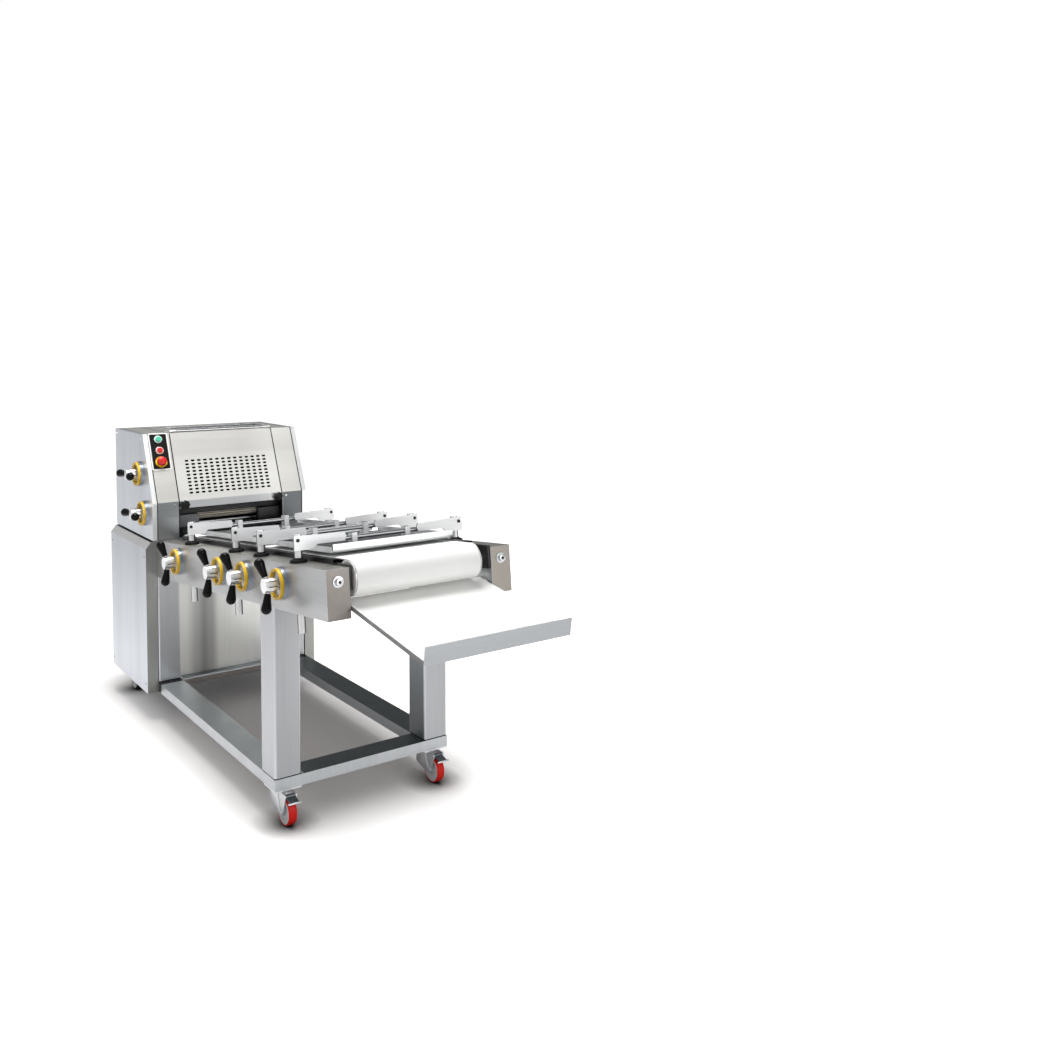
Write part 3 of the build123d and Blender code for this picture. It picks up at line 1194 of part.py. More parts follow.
# Tension bolts of the belt, and dome screws on the casing
with BuildPart() as fasteners:
    for side in (-1, 1):
        end_plane = Plane(
            origin=table_at(side * BOX_X, 0, DRUM_H),
            x_dir=(1, 0, 0),
            z_dir=(0, -COS_T, SIN_T),
        )
        with BuildSketch(end_plane):
            Circle(TENSION_WASHER_RADIUS)
        extrude(amount=SHEET)
        with BuildSketch(end_plane.offset(SHEET)):
            RegularPolygon(TENSION_HEAD_RADIUS, 6)
        extrude(amount=TENSION_HEAD_HEIGHT)
        with BuildSketch(end_plane):
            Circle(TENSION_BOLT_RADIUS)
        extrude(amount=-FRONT_DRUM_L - 2 * DRUM_SHAFT_RADIUS)
    screw_z = FOLD_Z - SCREW_DROP
    for screw_x in (MOUTH_LEFT - SCREW_INSET, MOUTH_RIGHT + SCREW_INSET):
        screw_plane = Plane(origin=at(screw_x, HEAD_FRONT, screw_z), x_dir=(1, 0, 0), z_dir=(0, -1, 0))
        with Locations(screw_plane.location):
            Cylinder(SCREW_RADIUS, SCREW_HEIGHT, align=(Align.CENTER, Align.CENTER, Align.MIN))
    side_screws = [
        (HEAD_FRONT + 2 * SCREW_INSET, HEAD_BASE + SCREW_INSET),
        (BODY_REACH - SCREW_INSET, HEAD_BASE + SCREW_INSET),
        (BODY_REACH - SCREW_INSET, (HEAD_BASE + HEAD_TOP) / 2),
        (BODY_REACH - SCREW_INSET, HEAD_TOP - SCREW_INSET),
        (slope_at(SLOPE_LENGTH, 0)[0] + SCREW_INSET, HEAD_TOP - SCREW_INSET),
    ]
    for screw_y, screw_z in side_screws:
        with Locations(across(HEAD_LEFT, screw_y, screw_z).location):
            Cylinder(SCREW_RADIUS, SCREW_HEIGHT, align=(Align.CENTER, Align.CENTER, Align.MAX))
        with Locations(across(HEAD_RIGHT, screw_y, screw_z).location):
            Cylinder(SCREW_RADIUS, SCREW_HEIGHT, align=(Align.CENTER, Align.CENTER, Align.MIN))
fasteners.part.label = "fasteners"
export_step(fasteners.part, "parts/fasteners.step")
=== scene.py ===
import json
import math

import bpy
from mathutils import Matrix, Vector


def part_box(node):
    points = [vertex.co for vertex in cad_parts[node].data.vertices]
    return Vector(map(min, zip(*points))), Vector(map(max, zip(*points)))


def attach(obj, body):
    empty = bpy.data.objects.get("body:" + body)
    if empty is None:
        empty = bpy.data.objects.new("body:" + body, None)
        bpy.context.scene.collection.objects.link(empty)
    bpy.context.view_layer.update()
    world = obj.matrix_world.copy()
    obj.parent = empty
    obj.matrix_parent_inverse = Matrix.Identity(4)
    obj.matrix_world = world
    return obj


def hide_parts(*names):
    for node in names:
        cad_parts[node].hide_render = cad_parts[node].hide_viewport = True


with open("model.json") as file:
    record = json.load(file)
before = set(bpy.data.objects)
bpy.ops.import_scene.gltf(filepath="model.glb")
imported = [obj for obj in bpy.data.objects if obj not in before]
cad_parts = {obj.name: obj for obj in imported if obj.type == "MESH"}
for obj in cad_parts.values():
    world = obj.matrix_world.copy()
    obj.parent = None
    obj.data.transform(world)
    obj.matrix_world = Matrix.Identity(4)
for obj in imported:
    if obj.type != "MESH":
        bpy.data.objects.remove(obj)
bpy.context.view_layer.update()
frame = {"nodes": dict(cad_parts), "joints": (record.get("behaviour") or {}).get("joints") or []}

# Camera: the photograph's view, from the front left and a little above the head.
# Places are given in millimetres from the middle of the base frame's front edge on the floor.
anchors = {joint["name"]: joint.get("pos_m") for joint in frame["joints"]}
ORIGIN = Vector((anchors["guard_hinge"][0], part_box("base_frame")[0][1], 0.0))


def place(x, y, z):
    """A point of the machine, from millimetres to the frame's metres."""
    return ORIGIN + Vector((x, y, z)) / 1000


EYE = place(-1747.4, -3317.3, 1679.6)
EYE_TILT = math.radians(87.545)
EYE_TURN = math.radians(-36.409)
lens = bpy.data.cameras.new("camera")
lens.lens = 35.78
lens.sensor_width = 36.0
lens.shift_y = -0.1281
camera = bpy.data.objects.new("camera", lens)
camera.location = EYE
camera.rotation_euler = (EYE_TILT, 0.0, EYE_TURN)
bpy.context.collection.objects.link(camera)
bpy.context.scene.camera = camera
bpy.context.scene.view_settings.view_transform = "Standard"

# Studio: a white floor that fades into a white background, one softbox overhead and weaker ones
# on the left and in front. The far right of the room is darker, which gives the steel its contrast.
FLOOR_SIZE = 60.0
SHADOW_MIDDLE = (0.065, 0.49, 0.0)
SHADOW_HALF = (0.225, 0.83, 0.0)
FADE_START = 0.03
FADE_REACH = 0.5
PAINTED_SHADOW_REACH = 0.11
PAINTED_SHADOW_POWER = 3.2
MIRRORED_FLOOR = 0.7
PAPER_DRIFT = 1 / 3
ROOM_LIGHT = 0.26
BRIGHT_WALL = 0.66
DARK_WALL = 0.16
DARK_SIDE = (0.86, 0.50, 0.0)


def linear(code):
    """Turns an sRGB hex colour into the linear one that shaders take."""
    parts = [int(code[k:k + 2], 16) / 255 for k in (1, 3, 5)]
    return tuple(v / 12.92 if v <= 0.04045 else ((v + 0.055) / 1.055) ** 2.4 for v in parts) + (1.0,)


def add(tree, kind, inputs=None, **settings):
    """Adds a node with its settings; an input is a value, or a socket to link from."""
    node = tree.nodes.new(kind)
    for key, value in settings.items():
        setattr(node, key, value)
    for key, value in (inputs or {}).items():
        if isinstance(value, bpy.types.NodeSocket):
            tree.links.new(value, node.inputs[key])
        else:
            node.inputs[key].default_value = value
    return node


bpy.ops.object.select_all(action="DESELECT")
bpy.ops.mesh.primitive_plane_add(size=FLOOR_SIZE)
floor = bpy.context.object
floor.name = "floor"
paper = bpy.data.materials.new("white_studio_floor")
paper.use_nodes = True
tree = paper.node_tree
tree.nodes.clear()
ray = add(tree, "ShaderNodeLightPath")
spot = add(tree, "ShaderNodeTexCoord").outputs["Object"]
speck = add(tree, "ShaderNodeTexNoise", {"Vector": spot, "Scale": 1 / PAPER_DRIFT, "Detail": 2.0})
tone = add(tree, "ShaderNodeMix", {0: speck.outputs["Fac"], 6: linear("#d3cfcd"), 7: linear("#d9d5d3")},
           data_type="RGBA")
# Painted contact shadow: ambient occlusion darkens the paper towards black where the wheels stand close over
# it, and holds back the glow there.
near = add(tree, "ShaderNodeAmbientOcclusion", {"Distance": PAINTED_SHADOW_REACH}, samples=8)
painted_contact_shadow = add(tree, "ShaderNodeMath", {0: near.outputs["AO"], 1: PAINTED_SHADOW_POWER}, operation="POWER")
ground = add(tree, "ShaderNodeMix", {0: painted_contact_shadow.outputs[0], 6: linear("#0a0a0a"), 7: tone.outputs[2]},
             data_type="RGBA")
matt = add(tree, "ShaderNodeBsdfDiffuse", {"Color": ground.outputs[2]})
# Close to the machine the floor shows the lamps' shadow, and near its wheels a painted contact shadow.
# Half a metre out it runs into white: a glow grows with the distance from a box round the machine,
# so the edge where the shadow fades out is painted light.
offset = add(tree, "ShaderNodeVectorMath", {0: spot, 1: SHADOW_MIDDLE}, operation="SUBTRACT")
reach = add(tree, "ShaderNodeVectorMath", {0: offset.outputs[0]}, operation="ABSOLUTE")
past = add(tree, "ShaderNodeVectorMath", {0: reach.outputs[0], 1: SHADOW_HALF}, operation="SUBTRACT")
clear = add(tree, "ShaderNodeVectorMath", {0: past.outputs[0], 1: (0.0, 0.0, 0.0)}, operation="MAXIMUM")
away = add(tree, "ShaderNodeVectorMath", {0: clear.outputs[0]}, operation="LENGTH")
fade = add(tree, "ShaderNodeMapRange", {"Value": away.outputs["Value"], 1: 0.0, 2: FADE_REACH, 3: FADE_START},
           interpolation_type="SMOOTHSTEP")
bare = add(tree, "ShaderNodeMath", {0: fade.outputs[0], 1: painted_contact_shadow.outputs[0]}, operation="MULTIPLY")
direct = add(tree, "ShaderNodeMath", {0: ray.outputs["Is Camera Ray"], 1: ray.outputs["Is Transmission Ray"]},
             operation="MAXIMUM")
seen = add(tree, "ShaderNodeMath", {0: ray.outputs["Is Glossy Ray"], 1: MIRRORED_FLOOR, 2: direct.outputs[0]},
           operation="MULTIPLY_ADD")
lift = add(tree, "ShaderNodeMath", {0: bare.outputs[0], 1: seen.outputs[0]}, operation="MULTIPLY")
glow = add(tree, "ShaderNodeEmission", {"Strength": lift.outputs[0]})
both = add(tree, "ShaderNodeAddShader", {0: matt.outputs[0], 1: glow.outputs[0]})
add(tree, "ShaderNodeOutputMaterial", {"Surface": both.outputs[0]})
floor.data.materials.append(paper)

world = bpy.data.worlds.new("studio")
bpy.context.scene.world = world
world.use_nodes = True
tree = world.node_tree
tree.nodes.clear()
ray = add(tree, "ShaderNodeLightPath")
direct = add(tree, "ShaderNodeMath", {0: ray.outputs["Is Camera Ray"], 1: ray.outputs["Is Transmission Ray"]},
             operation="MAXIMUM")
aim = add(tree, "ShaderNodeTexCoord")
right = add(tree, "ShaderNodeVectorMath", {0: aim.outputs["Generated"], 1: DARK_SIDE},
            operation="DOT_PRODUCT")
fall = add(tree, "ShaderNodeMapRange",
           {"Value": right.outputs["Value"], 1: -0.1, 2: 0.9, 3: BRIGHT_WALL, 4: DARK_WALL})
shine = add(tree, "ShaderNodeMix", {0: ray.outputs["Is Glossy Ray"], 2: ROOM_LIGHT, 3: fall.outputs[0]})
level = add(tree, "ShaderNodeMix", {0: direct.outputs[0], 2: shine.outputs[0], 3: 1.0})
sky = add(tree, "ShaderNodeBackground", {"Color": linear("#ffffff"), "Strength": level.outputs[0]})
add(tree, "ShaderNodeOutputWorld", {"Surface": sky.outputs[0]})


def softbox(name, size, power, spot, target):
    """Hangs a square lamp at a spot and turns it to a target."""
    lamp = bpy.data.lights.new(name, "AREA")
    lamp.size = size
    lamp.energy = power
    box = bpy.data.objects.new(name, lamp)
    box.location = spot
    box.rotation_euler = (Vector(target) - Vector(spot)).to_track_quat("-Z", "Y").to_euler()
    bpy.context.collection.objects.link(box)


softbox("softbox_top", size=2.0, power=145.0, spot=(-0.2, 0.25, 4.0), target=(-0.1, 0.1, 0.0))
softbox("softbox_left", size=2.2, power=13.0, spot=(-4.0, -1.2, 2.2), target=(0.0, 0.0, 0.7))
softbox("softbox_front", size=2.4, power=50.0, spot=(0.9, -4.5, 2.0), target=(0.0, -0.4, 0.8))

# Base frame: rectangular stainless tube with rounded corners, mitred and welded. Satin brushing gives it fine
# upright streaks. Its tones by facing and place are painted light and shade: most flat tops are painted dark,
# and the rear rail's front and the right leg's left face darker.
# A thin weld line runs round the foot of each leg.
LEFT = (-1.0, 0.0, 0.0)
FRONT = (0.0, -1.0, 0.0)
TOP = (0.0, 0.0, 1.0)
# Painted light and shade: a face gets its own tone within about 10 degrees of its facing, fading out by 20.
# Edges get a painted highlight about 2 mm wide, and streaks change the tone by under a twentieth.
FACING_FROM = 0.94
FACING_FULL = 0.985
EDGE_HIGHLIGHT_WIDTH = 0.0022
EDGE_FROM = 0.99
EDGE_FULL = 0.86
BAND_SHARE = 0.06
DARK_STREAK = 0.7
PALE_STREAK = 1.3
TONE_SWING = 0.045
STREAK_DEPTH = 0.0003
DULLER = 0.06
SHARPER = 0.05
SEAM_SHADE = "#17191a"


def by_facing(tree, coords, colour, faces):
    """Lays painted light and shade as a tone over the faces that look along an axis, or only over those past
    limits on coordinates.
    """
    axes = add(tree, "ShaderNodeSeparateXYZ", {0: coords.outputs["Object"]})
    for axis, shade, *limits in faces:
        facing = add(tree, "ShaderNodeVectorMath", {0: coords.outputs["Normal"], 1: axis},
                     operation="DOT_PRODUCT")
        share = add(tree, "ShaderNodeMapRange",
                    {"Value": facing.outputs["Value"], 1: FACING_FROM, 2: FACING_FULL})
        for letter, limit in limits:
            past = add(tree, "ShaderNodeMath", {0: axes.outputs[letter], 1: limit}, operation="GREATER_THAN")
            share = add(tree, "ShaderNodeMath", {0: share.outputs[0], 1: past.outputs[0]},
                        operation="MULTIPLY")
        toned = add(tree, "ShaderNodeMix", {0: share.outputs[0], 6: colour, 7: linear(shade)},
                    data_type="RGBA")
        colour = toned.outputs[2]
    return colour


def brushed_steel(name, tone, grain, faces=(), joints=(), roughness=0.36, edge="#eef1f3", edge_highlight=0.6,
                  relief=0.04, metallic=1.0):
    """Brushed stainless: fine streaks and broad bands along the grain, seams, and painted light and shade:
    tones by facing, and highlights on edges.
    """
    steel = bpy.data.materials.new(name)
    steel.use_nodes = True
    tree = steel.node_tree
    shader = tree.nodes["Principled BSDF"]
    coords = add(tree, "ShaderNodeTexCoord")
    shape = add(tree, "ShaderNodeNewGeometry")
    axes = add(tree, "ShaderNodeSeparateXYZ", {0: coords.outputs["Object"]})
    fine = add(tree, "ShaderNodeMapping", {"Vector": coords.outputs["Object"], "Scale": grain})
    wide = add(tree, "ShaderNodeMapping",
               {"Vector": coords.outputs["Object"], "Scale": [v * BAND_SHARE for v in grain]})
    streak = add(tree, "ShaderNodeTexNoise",
                 {"Vector": fine.outputs[0], "Scale": 1.0, "Detail": 4.0, "Roughness": 0.6})
    band = add(tree, "ShaderNodeTexNoise", {"Vector": wide.outputs[0], "Scale": 1.0, "Detail": 2.0})
    total = add(tree, "ShaderNodeMath", {0: streak.outputs["Fac"], 1: band.outputs["Fac"]}, operation="ADD")
    colour = by_facing(tree, coords, linear(tone), faces)
    soft = shape.outputs["Normal"]
    if edge_highlight:
        soft = add(tree, "ShaderNodeBevel", {"Radius": EDGE_HIGHLIGHT_WIDTH}, samples=4).outputs[0]
        turn = add(tree, "ShaderNodeVectorMath", {0: soft, 1: shape.outputs["Normal"]},
                   operation="DOT_PRODUCT")
        painted_light = add(tree, "ShaderNodeMapRange",
                   {"Value": turn.outputs["Value"], 1: EDGE_FROM, 2: EDGE_FULL, 3: 0.0, 4: edge_highlight})
        edged = add(tree, "ShaderNodeMix", {0: painted_light.outputs[0], 6: colour, 7: linear(edge)}, data_type="RGBA")
        colour = edged.outputs[2]
    for letter, low, high, *shade in joints:
        shade = linear(shade[0] if shade else SEAM_SHADE)
        line = add(tree, "ShaderNodeMath",
                   {0: axes.outputs[letter], 1: (low + high) / 2, 2: (high - low) / 2}, operation="COMPARE")
        lined = add(tree, "ShaderNodeMix", {0: line.outputs[0], 6: colour, 7: shade}, data_type="RGBA")
        colour = lined.outputs[2]
    depth = add(tree, "ShaderNodeMapRange",
                {"Value": total.outputs[0], 1: DARK_STREAK, 2: PALE_STREAK,
                 3: 1 - TONE_SWING, 4: 1 + TONE_SWING})
    shaded = add(tree, "ShaderNodeHueSaturation", {"Color": colour, "Value": depth.outputs[0]})
    rough = add(tree, "ShaderNodeMapRange",
                {"Value": total.outputs[0], 1: DARK_STREAK, 2: PALE_STREAK,
                 3: roughness + DULLER, 4: roughness - SHARPER})
    bump = add(tree, "ShaderNodeBump",
               {"Height": streak.outputs["Fac"], "Strength": relief, "Distance": STREAK_DEPTH,
                "Normal": soft})
    tree.links.new(shaded.outputs[0], shader.inputs["Base Color"])
    tree.links.new(rough.outputs[0], shader.inputs["Roughness"])
    tree.links.new(bump.outputs[0], shader.inputs["Normal"])
    shader.inputs["Metallic"].default_value = metallic
    return steel


def tint(steel, letter, stops, facing=None):
    """Paints shade over a finish, or only over its faces turned one way, along a coordinate by (place, share)
    stops.
    """
    tree = steel.node_tree
    base = tree.nodes["Principled BSDF"].inputs["Base Color"]
    coords = add(tree, "ShaderNodeTexCoord")
    axes = add(tree, "ShaderNodeSeparateXYZ", {0: coords.outputs["Object"]})
    first, last = stops[0][0], stops[-1][0]
    along = add(tree, "ShaderNodeMapRange", {"Value": axes.outputs[letter], 1: first, 2: last})
    ramp = add(tree, "ShaderNodeValToRGB", {0: along.outputs[0]})
    ramp.color_ramp.interpolation = "EASE"
    for middle, _ in stops[1:-1]:
        ramp.color_ramp.elements.new((middle - first) / (last - first))
    for mark, (_, share) in zip(ramp.color_ramp.elements, stops):
        mark.color = (share, share, share, 1.0)
    amount = 1.0
    if facing:
        toward = add(tree, "ShaderNodeVectorMath", {0: coords.outputs["Normal"], 1: facing},
                     operation="DOT_PRODUCT")
        chosen = add(tree, "ShaderNodeMath", {0: toward.outputs["Value"], 1: 0.5}, operation="GREATER_THAN")
        amount = chosen.outputs[0]
    toned = add(tree, "ShaderNodeMix", {0: amount, 6: base.links[0].from_socket, 7: ramp.outputs[0]},
                data_type="RGBA", blend_type="MULTIPLY")
    tree.links.new(toned.outputs[2], base)


def dress(material, *names):
    """Gives CAD nodes their finish through their material slots."""
    for name in names:
        for slot in frame["nodes"][name].material_slots:
            slot.material = material


# Brushing marks are about 0.3 mm apart. They are drawn 6 mm wide and 0.35 m long, so that they show.
MARKS_ACROSS = 165.0
MARKS_ALONG = 2.8
ALONG_Y = (MARKS_ACROSS, MARKS_ALONG, MARKS_ACROSS)
ALONG_X = (MARKS_ALONG, MARKS_ACROSS, MARKS_ACROSS)
UPRIGHT = (MARKS_ACROSS, MARKS_ACROSS, MARKS_ALONG)
RAIL_TOP = 170.0
PEDESTAL_FRONT = 1280.0
above_rails = ("Z", (RAIL_TOP + 5) / 1000)
past_left_rail = ("X", place(-240, 0, 0).x)
right_part = ("X", place(200, 0, 0).x)
rear_part = ("Y", place(0, 1200, 0).y)
foot_weld = ("Z", (RAIL_TOP + 0.3) / 1000, (RAIL_TOP + 4.6) / 1000)
rail_end = ("Y", place(0, PEDESTAL_FRONT - 34, 0).y, place(0, PEDESTAL_FRONT - 1, 0).y)
tube_steel = brushed_steel(
    "brushed_stainless_tube", "#bcc0c4", UPRIGHT,
    faces=[(TOP, "#c8ced1"), (TOP, "#5f6668", past_left_rail),
           (FRONT, "#b5b9bc"), (FRONT, "#a3a6a9", above_rails),
           (FRONT, "#8a8784", rear_part), (FRONT, "#b0b3b6", rear_part, above_rails),
           (LEFT, "#b2b5b9", above_rails), (LEFT, "#8b9094", right_part, above_rails)],
    joints=[foot_weld, rail_end], edge_highlight=0.2)
dress(tube_steel, "base_frame")

# Pedestal panels: folded stainless covers that stand proud of the legs on both sides, with a let-in front
# and back panel. Flat countersunk screws hold each cover near its corners.
COVER_X = 398.0
COVER_FOLD = (-0.733, 0.0, 0.680)
COVER_FADE = [(0.15, 1.0), (0.45, 0.94), (0.80, 0.82)]
PANEL_BAND = ((-215, 1.0), (-160, 0.63), (-128, 0.42), (-96, 0.54), (-50, 1.0))
let_in = ("Y", place(0, 1285, 0).y)
# Painted light and shade by facing: the covers' front strips are darker, the let-in front panel lighter, the
# tops nearly black, and the sloped top edge white as a highlight.
cover_steel = brushed_steel(
    "brushed_stainless_cover", "#c9ced5", UPRIGHT,
    faces=[(FRONT, "#9d9e9b"), (FRONT, "#ecedea", let_in), (TOP, "#2c2d2e"), (COVER_FOLD, "#ffffff")])
# Painted shade: the covers get a little darker towards their tops, and one soft dark band, a painted
# reflection, runs down the front panel.
tint(cover_steel, "Z", COVER_FADE)
tint(cover_steel, "X", [(place(x, 0, 0).x, share) for x, share in PANEL_BAND], FRONT)
dress(cover_steel, "casing_panels")


MERGE_WITHIN = 0.00001
SMOOTH_BELOW = math.radians(35)


def turned(steps, sides, bored=False):
    """A turned piece on +Z: a ring extruded through (radius, height) steps. A bored one has no end faces."""
    bpy.ops.object.select_all(action="DESELECT")
    radius, height = steps[0]
    fill = "NOTHING" if bored else "NGON"
    bpy.ops.mesh.primitive_circle_add(vertices=sides, radius=radius, fill_type=fill, location=(0, 0, height))
    piece = bpy.context.object
    bpy.ops.object.transform_apply(location=True, rotation=True, scale=True)
    bpy.ops.object.mode_set(mode="EDIT")
    bpy.ops.mesh.select_mode(type="VERT")
    bpy.ops.mesh.select_all(action="SELECT")
    for wider, higher in steps[1:]:
        bpy.ops.mesh.extrude_region_move(TRANSFORM_OT_translate={"value": (0, 0, higher - height)})
        grow = wider / radius
        bpy.ops.transform.resize(value=(grow, grow, 1.0), center_override=(0, 0, higher))
        radius, height = wider, higher
    bpy.ops.mesh.select_all(action="SELECT")
    if bored:
        bpy.ops.mesh.remove_doubles(threshold=MERGE_WITHIN)
    bpy.ops.mesh.normals_make_consistent(inside=False)
    bpy.ops.object.mode_set(mode="OBJECT")
    bpy.ops.object.shade_smooth_by_angle(angle=SMOOTH_BELOW)
    return piece


def seat(spot, out, up=TOP):
    """A placing matrix: local +Z looks out, local +Y is as near to up as it can be."""
    z = Vector(out).normalized()
    x = Vector(up).cross(z).normalized()
    y = z.cross(x)
    return Matrix.Translation(Vector(spot)) @ Matrix((x, y, z)).transposed().to_4x4()


def fit(master, name, body, slot, material, spot, *replaced):
    """Copies a modelled piece to its place, with a mesh of its own, its finish and its body."""
    piece = bpy.data.objects.new(name, master.data.copy())
    bpy.context.collection.objects.link(piece)
    piece.data.transform(spot)
    piece.data.materials.clear()
    piece.data.materials.append(material)
    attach(piece, body)
    if replaced:
        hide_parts(*replaced)


def scrap(*masters):
    """Takes away the pieces that the copies were made from."""
    for master in masters:
        bpy.data.objects.remove(master)


# Colour drifts over about 30 mm. A moulding's skin is about 0.1 mm fine. It is drawn 1.2 mm coarse or more,
# so that it shows.
DRIFT = 0.03
SKIN_STRENGTH = 0.25


def moulded(name, colour, shade, roughness, grit=0.0012, depth=0.00015, metallic=0.0, faces=(), shine=0.5):
    """A moulded or plated surface: a little colour drift, and a fine skin that breaks up the shine."""
    stuff = bpy.data.materials.new(name)
    stuff.use_nodes = True
    tree = stuff.node_tree
    shader = tree.nodes["Principled BSDF"]
    coords = add(tree, "ShaderNodeTexCoord")
    spot = coords.outputs["Object"]
    drift = add(tree, "ShaderNodeTexNoise", {"Vector": spot, "Scale": 1 / DRIFT, "Detail": 3.0})
    skin = add(tree, "ShaderNodeTexNoise", {"Vector": spot, "Scale": 1 / grit, "Detail": 2.0})
    tone = add(tree, "ShaderNodeMix", {0: drift.outputs["Fac"], 6: linear(shade), 7: linear(colour)},
               data_type="RGBA")
    rough = add(tree, "ShaderNodeMapRange",
                {"Value": drift.outputs["Fac"], 1: 0.3, 2: 0.7,
                 3: roughness - SHARPER, 4: roughness + DULLER})
    bump = add(tree, "ShaderNodeBump",
               {"Height": skin.outputs["Fac"], "Strength": SKIN_STRENGTH, "Distance": depth})
    tree.links.new(by_facing(tree, coords, tone.outputs[2], faces), shader.inputs["Base Color"])
    tree.links.new(rough.outputs[0], shader.inputs["Roughness"])
    tree.links.new(bump.outputs[0], shader.inputs["Normal"])
    shader.inputs["Metallic"].default_value = metallic
    shader.inputs["Specular IOR Level"].default_value = shine
    return stuff


SIDES = ((-1, "left"), (1, "right"))
COVER_SCREWS = ((1306, 168), (1804, 168), (1306, 735), (1804, 735))
FINE = 0.00003
# Dull grey heads hardly stand out against the sheet.
screw_steel = moulded("dull_screw_steel", "#75787b", "#626568", 0.4, depth=FINE, metallic=1.0)
flat_screw = turned(
    [(0.0056, -0.0004), (0.0056, 0.0001), (0.0052, 0.0003), (0.0027, 0.0003), (0.0024, -0.0003)], sides=20)
for side, mark in SIDES:
    for number, (y, z) in enumerate(COVER_SCREWS):
        hole = seat(place(side * COVER_X, y, z), (side, 0, 0))
        fit(flat_screw, f"cover_screw_{mark}_{number}", "frame", "zinc_plate", screw_steel, hole)
scrap(flat_screw)

# Casters: zinc-plated pressed forks round white nylon wheels with a thin tread, of red polyurethane in front
# and grey rubber at the back. The front pair swivels, and has skirts on its forks and a rolled edge on each
# brake pedal.
CASTER_X = 300.0
PEDAL_EDGE_Y = -52.6
PEDAL_EDGE_Z = 97.5
PEDAL_HALF = 24.0
CHEEKS = (("outer", -24.4), ("inner", 22.4))
# Zinc has a soft bright shine; the pedals get a darker copy of it as painted shade.
# The front treads are a strong plain red, the rear ones a dull dark grey picked as painted shade, so that
# they sink into the shadow under the pedestal, and the hubs look pale.
zinc = moulded("zinc_plated_pressing", "#dfe2e5", "#cdd1d5", 0.34, depth=FINE, metallic=1.0)
tread_red = moulded("red_polyurethane_tread", "#f2231a", "#df1b13", 0.42, shine=0.25)
hub_nylon = moulded("pale_nylon_hub", "#e6e7e8", "#d9dbdd", 0.45)
pedal_zinc_shade = moulded("shaded_pedal_zinc", "#6d7275", "#5f6467", 0.4, depth=FINE, metallic=1.0)
tread_grey_shade = moulded("shade_grey_rubber_tread", "#3b3c3e", "#323335", 0.55)
dress(zinc, "caster_brackets", "caster_fork_left", "caster_fork_right")
dress(pedal_zinc_shade, "brake_pedal_left", "brake_pedal_right")

# Half a wheel's section, from the bore out to the rim; the other half is its mirror image.
tread_half = [(0.0440, 0.0120), (0.0452, 0.0150), (0.0466, 0.0158), (0.0482, 0.0150), (0.0494, 0.0128),
              (0.0500, 0.0090)]
hub_half = [(0.0060, 0.0160), (0.0110, 0.0160), (0.0125, 0.0150), (0.0140, 0.0105), (0.0350, 0.0100),
            (0.0370, 0.0145), (0.0385, 0.0154), (0.0440, 0.0154), (0.0452, 0.0146)]
tread_low = [(radius, -height) for radius, height in tread_half]
hub_low = [(radius, -height) for radius, height in hub_half]
tread = turned(tread_low + tread_half[::-1] + tread_low[:1], sides=64, bored=True)
hub = turned(hub_low + hub_half[::-1], sides=48)
for corner in ("front_left", "front_right", "rear_left", "rear_right"):
    wheel = "caster_wheel_" + corner
    axle = seat(anchors["wheel_" + corner + "_spin"], (1.0, 0.0, 0.0))
    tyre = tread_red if corner.startswith("front") else tread_grey_shade
    fit(tread, "tread_" + corner, wheel, "red_tread", tyre, axle, wheel)
    fit(hub, "hub_" + corner, wheel, "red_tread", hub_nylon, axle)
scrap(tread, hub)

# The skirt's outline, seen from the side: millimetres back and up.
SKIRT = [(106, 114), (106, 60), (96, 53), (26, 36), (20, 40), (20, 50), (37, 100), (37, 114)]
SKIRT_THICK = 0.002
bpy.ops.object.select_all(action="DESELECT")
bpy.ops.mesh.primitive_circle_add(vertices=len(SKIRT), radius=0.05, fill_type="NGON")
skirt = bpy.context.object
for point, (y, z) in zip(skirt.data.vertices, SKIRT):
    point.co = (0.0, y / 1000, z / 1000)
bpy.ops.object.mode_set(mode="EDIT")
bpy.ops.mesh.select_all(action="SELECT")
bpy.ops.mesh.extrude_region_move(TRANSFORM_OT_translate={"value": (SKIRT_THICK, 0, 0)})
bpy.ops.mesh.select_all(action="SELECT")
bpy.ops.mesh.normals_make_consistent(inside=False)
bpy.ops.mesh.bevel(offset=0.0007, segments=2, affect="EDGES")
bpy.ops.object.mode_set(mode="OBJECT")
bpy.ops.object.shade_smooth_by_angle(angle=SMOOTH_BELOW)
roll = turned([(0.0010, 0.0), (0.0026, 0.0004), (0.0034, 0.0020), (0.0034, 0.0460), (0.0026, 0.0476),
               (0.0010, 0.0480)], sides=20)
for side, mark in SIDES:
    x = side * CASTER_X
    for cheek, step in CHEEKS:
        fit(skirt, f"fork_skirt_{mark}_{cheek}", "caster_swivel_" + mark, "zinc_plate", zinc,
            Matrix.Translation(place(x + step, 0, 0)))
    edge = seat(place(x - PEDAL_HALF, PEDAL_EDGE_Y, PEDAL_EDGE_Z), (1, 0, 0))
    fit(roll, "pedal_roll_" + mark, "brake_pedal_" + mark, "zinc_plate", zinc, edge)
scrap(skirt, roll)

# Table boxes: two long folded sheet boxes that carry the belt, brushed lengthwise, each closed at the front
# by an end plate painted a darker warm grey as shade. The washer and round head of the belt's tension bolt
# sit on it, with a hexagon socket in the head that is painted dark as shade.
TILT = math.radians(5.75)
BACK = Vector((0.0, math.cos(TILT), -math.sin(TILT)))
RISE = Vector((0.0, math.sin(TILT), math.cos(TILT)))
TABLE_NOSE = place(0, -409, 975)
BOX_X = 310.0
DRUM_H = -41.0


def on_table(x, l, h):
    """A point of the tilted table: l millimetres back from its nose and h above its boxes."""
    return TABLE_NOSE + Vector((x / 1000, 0, 0)) + BACK * (l / 1000) + RISE * (h / 1000)


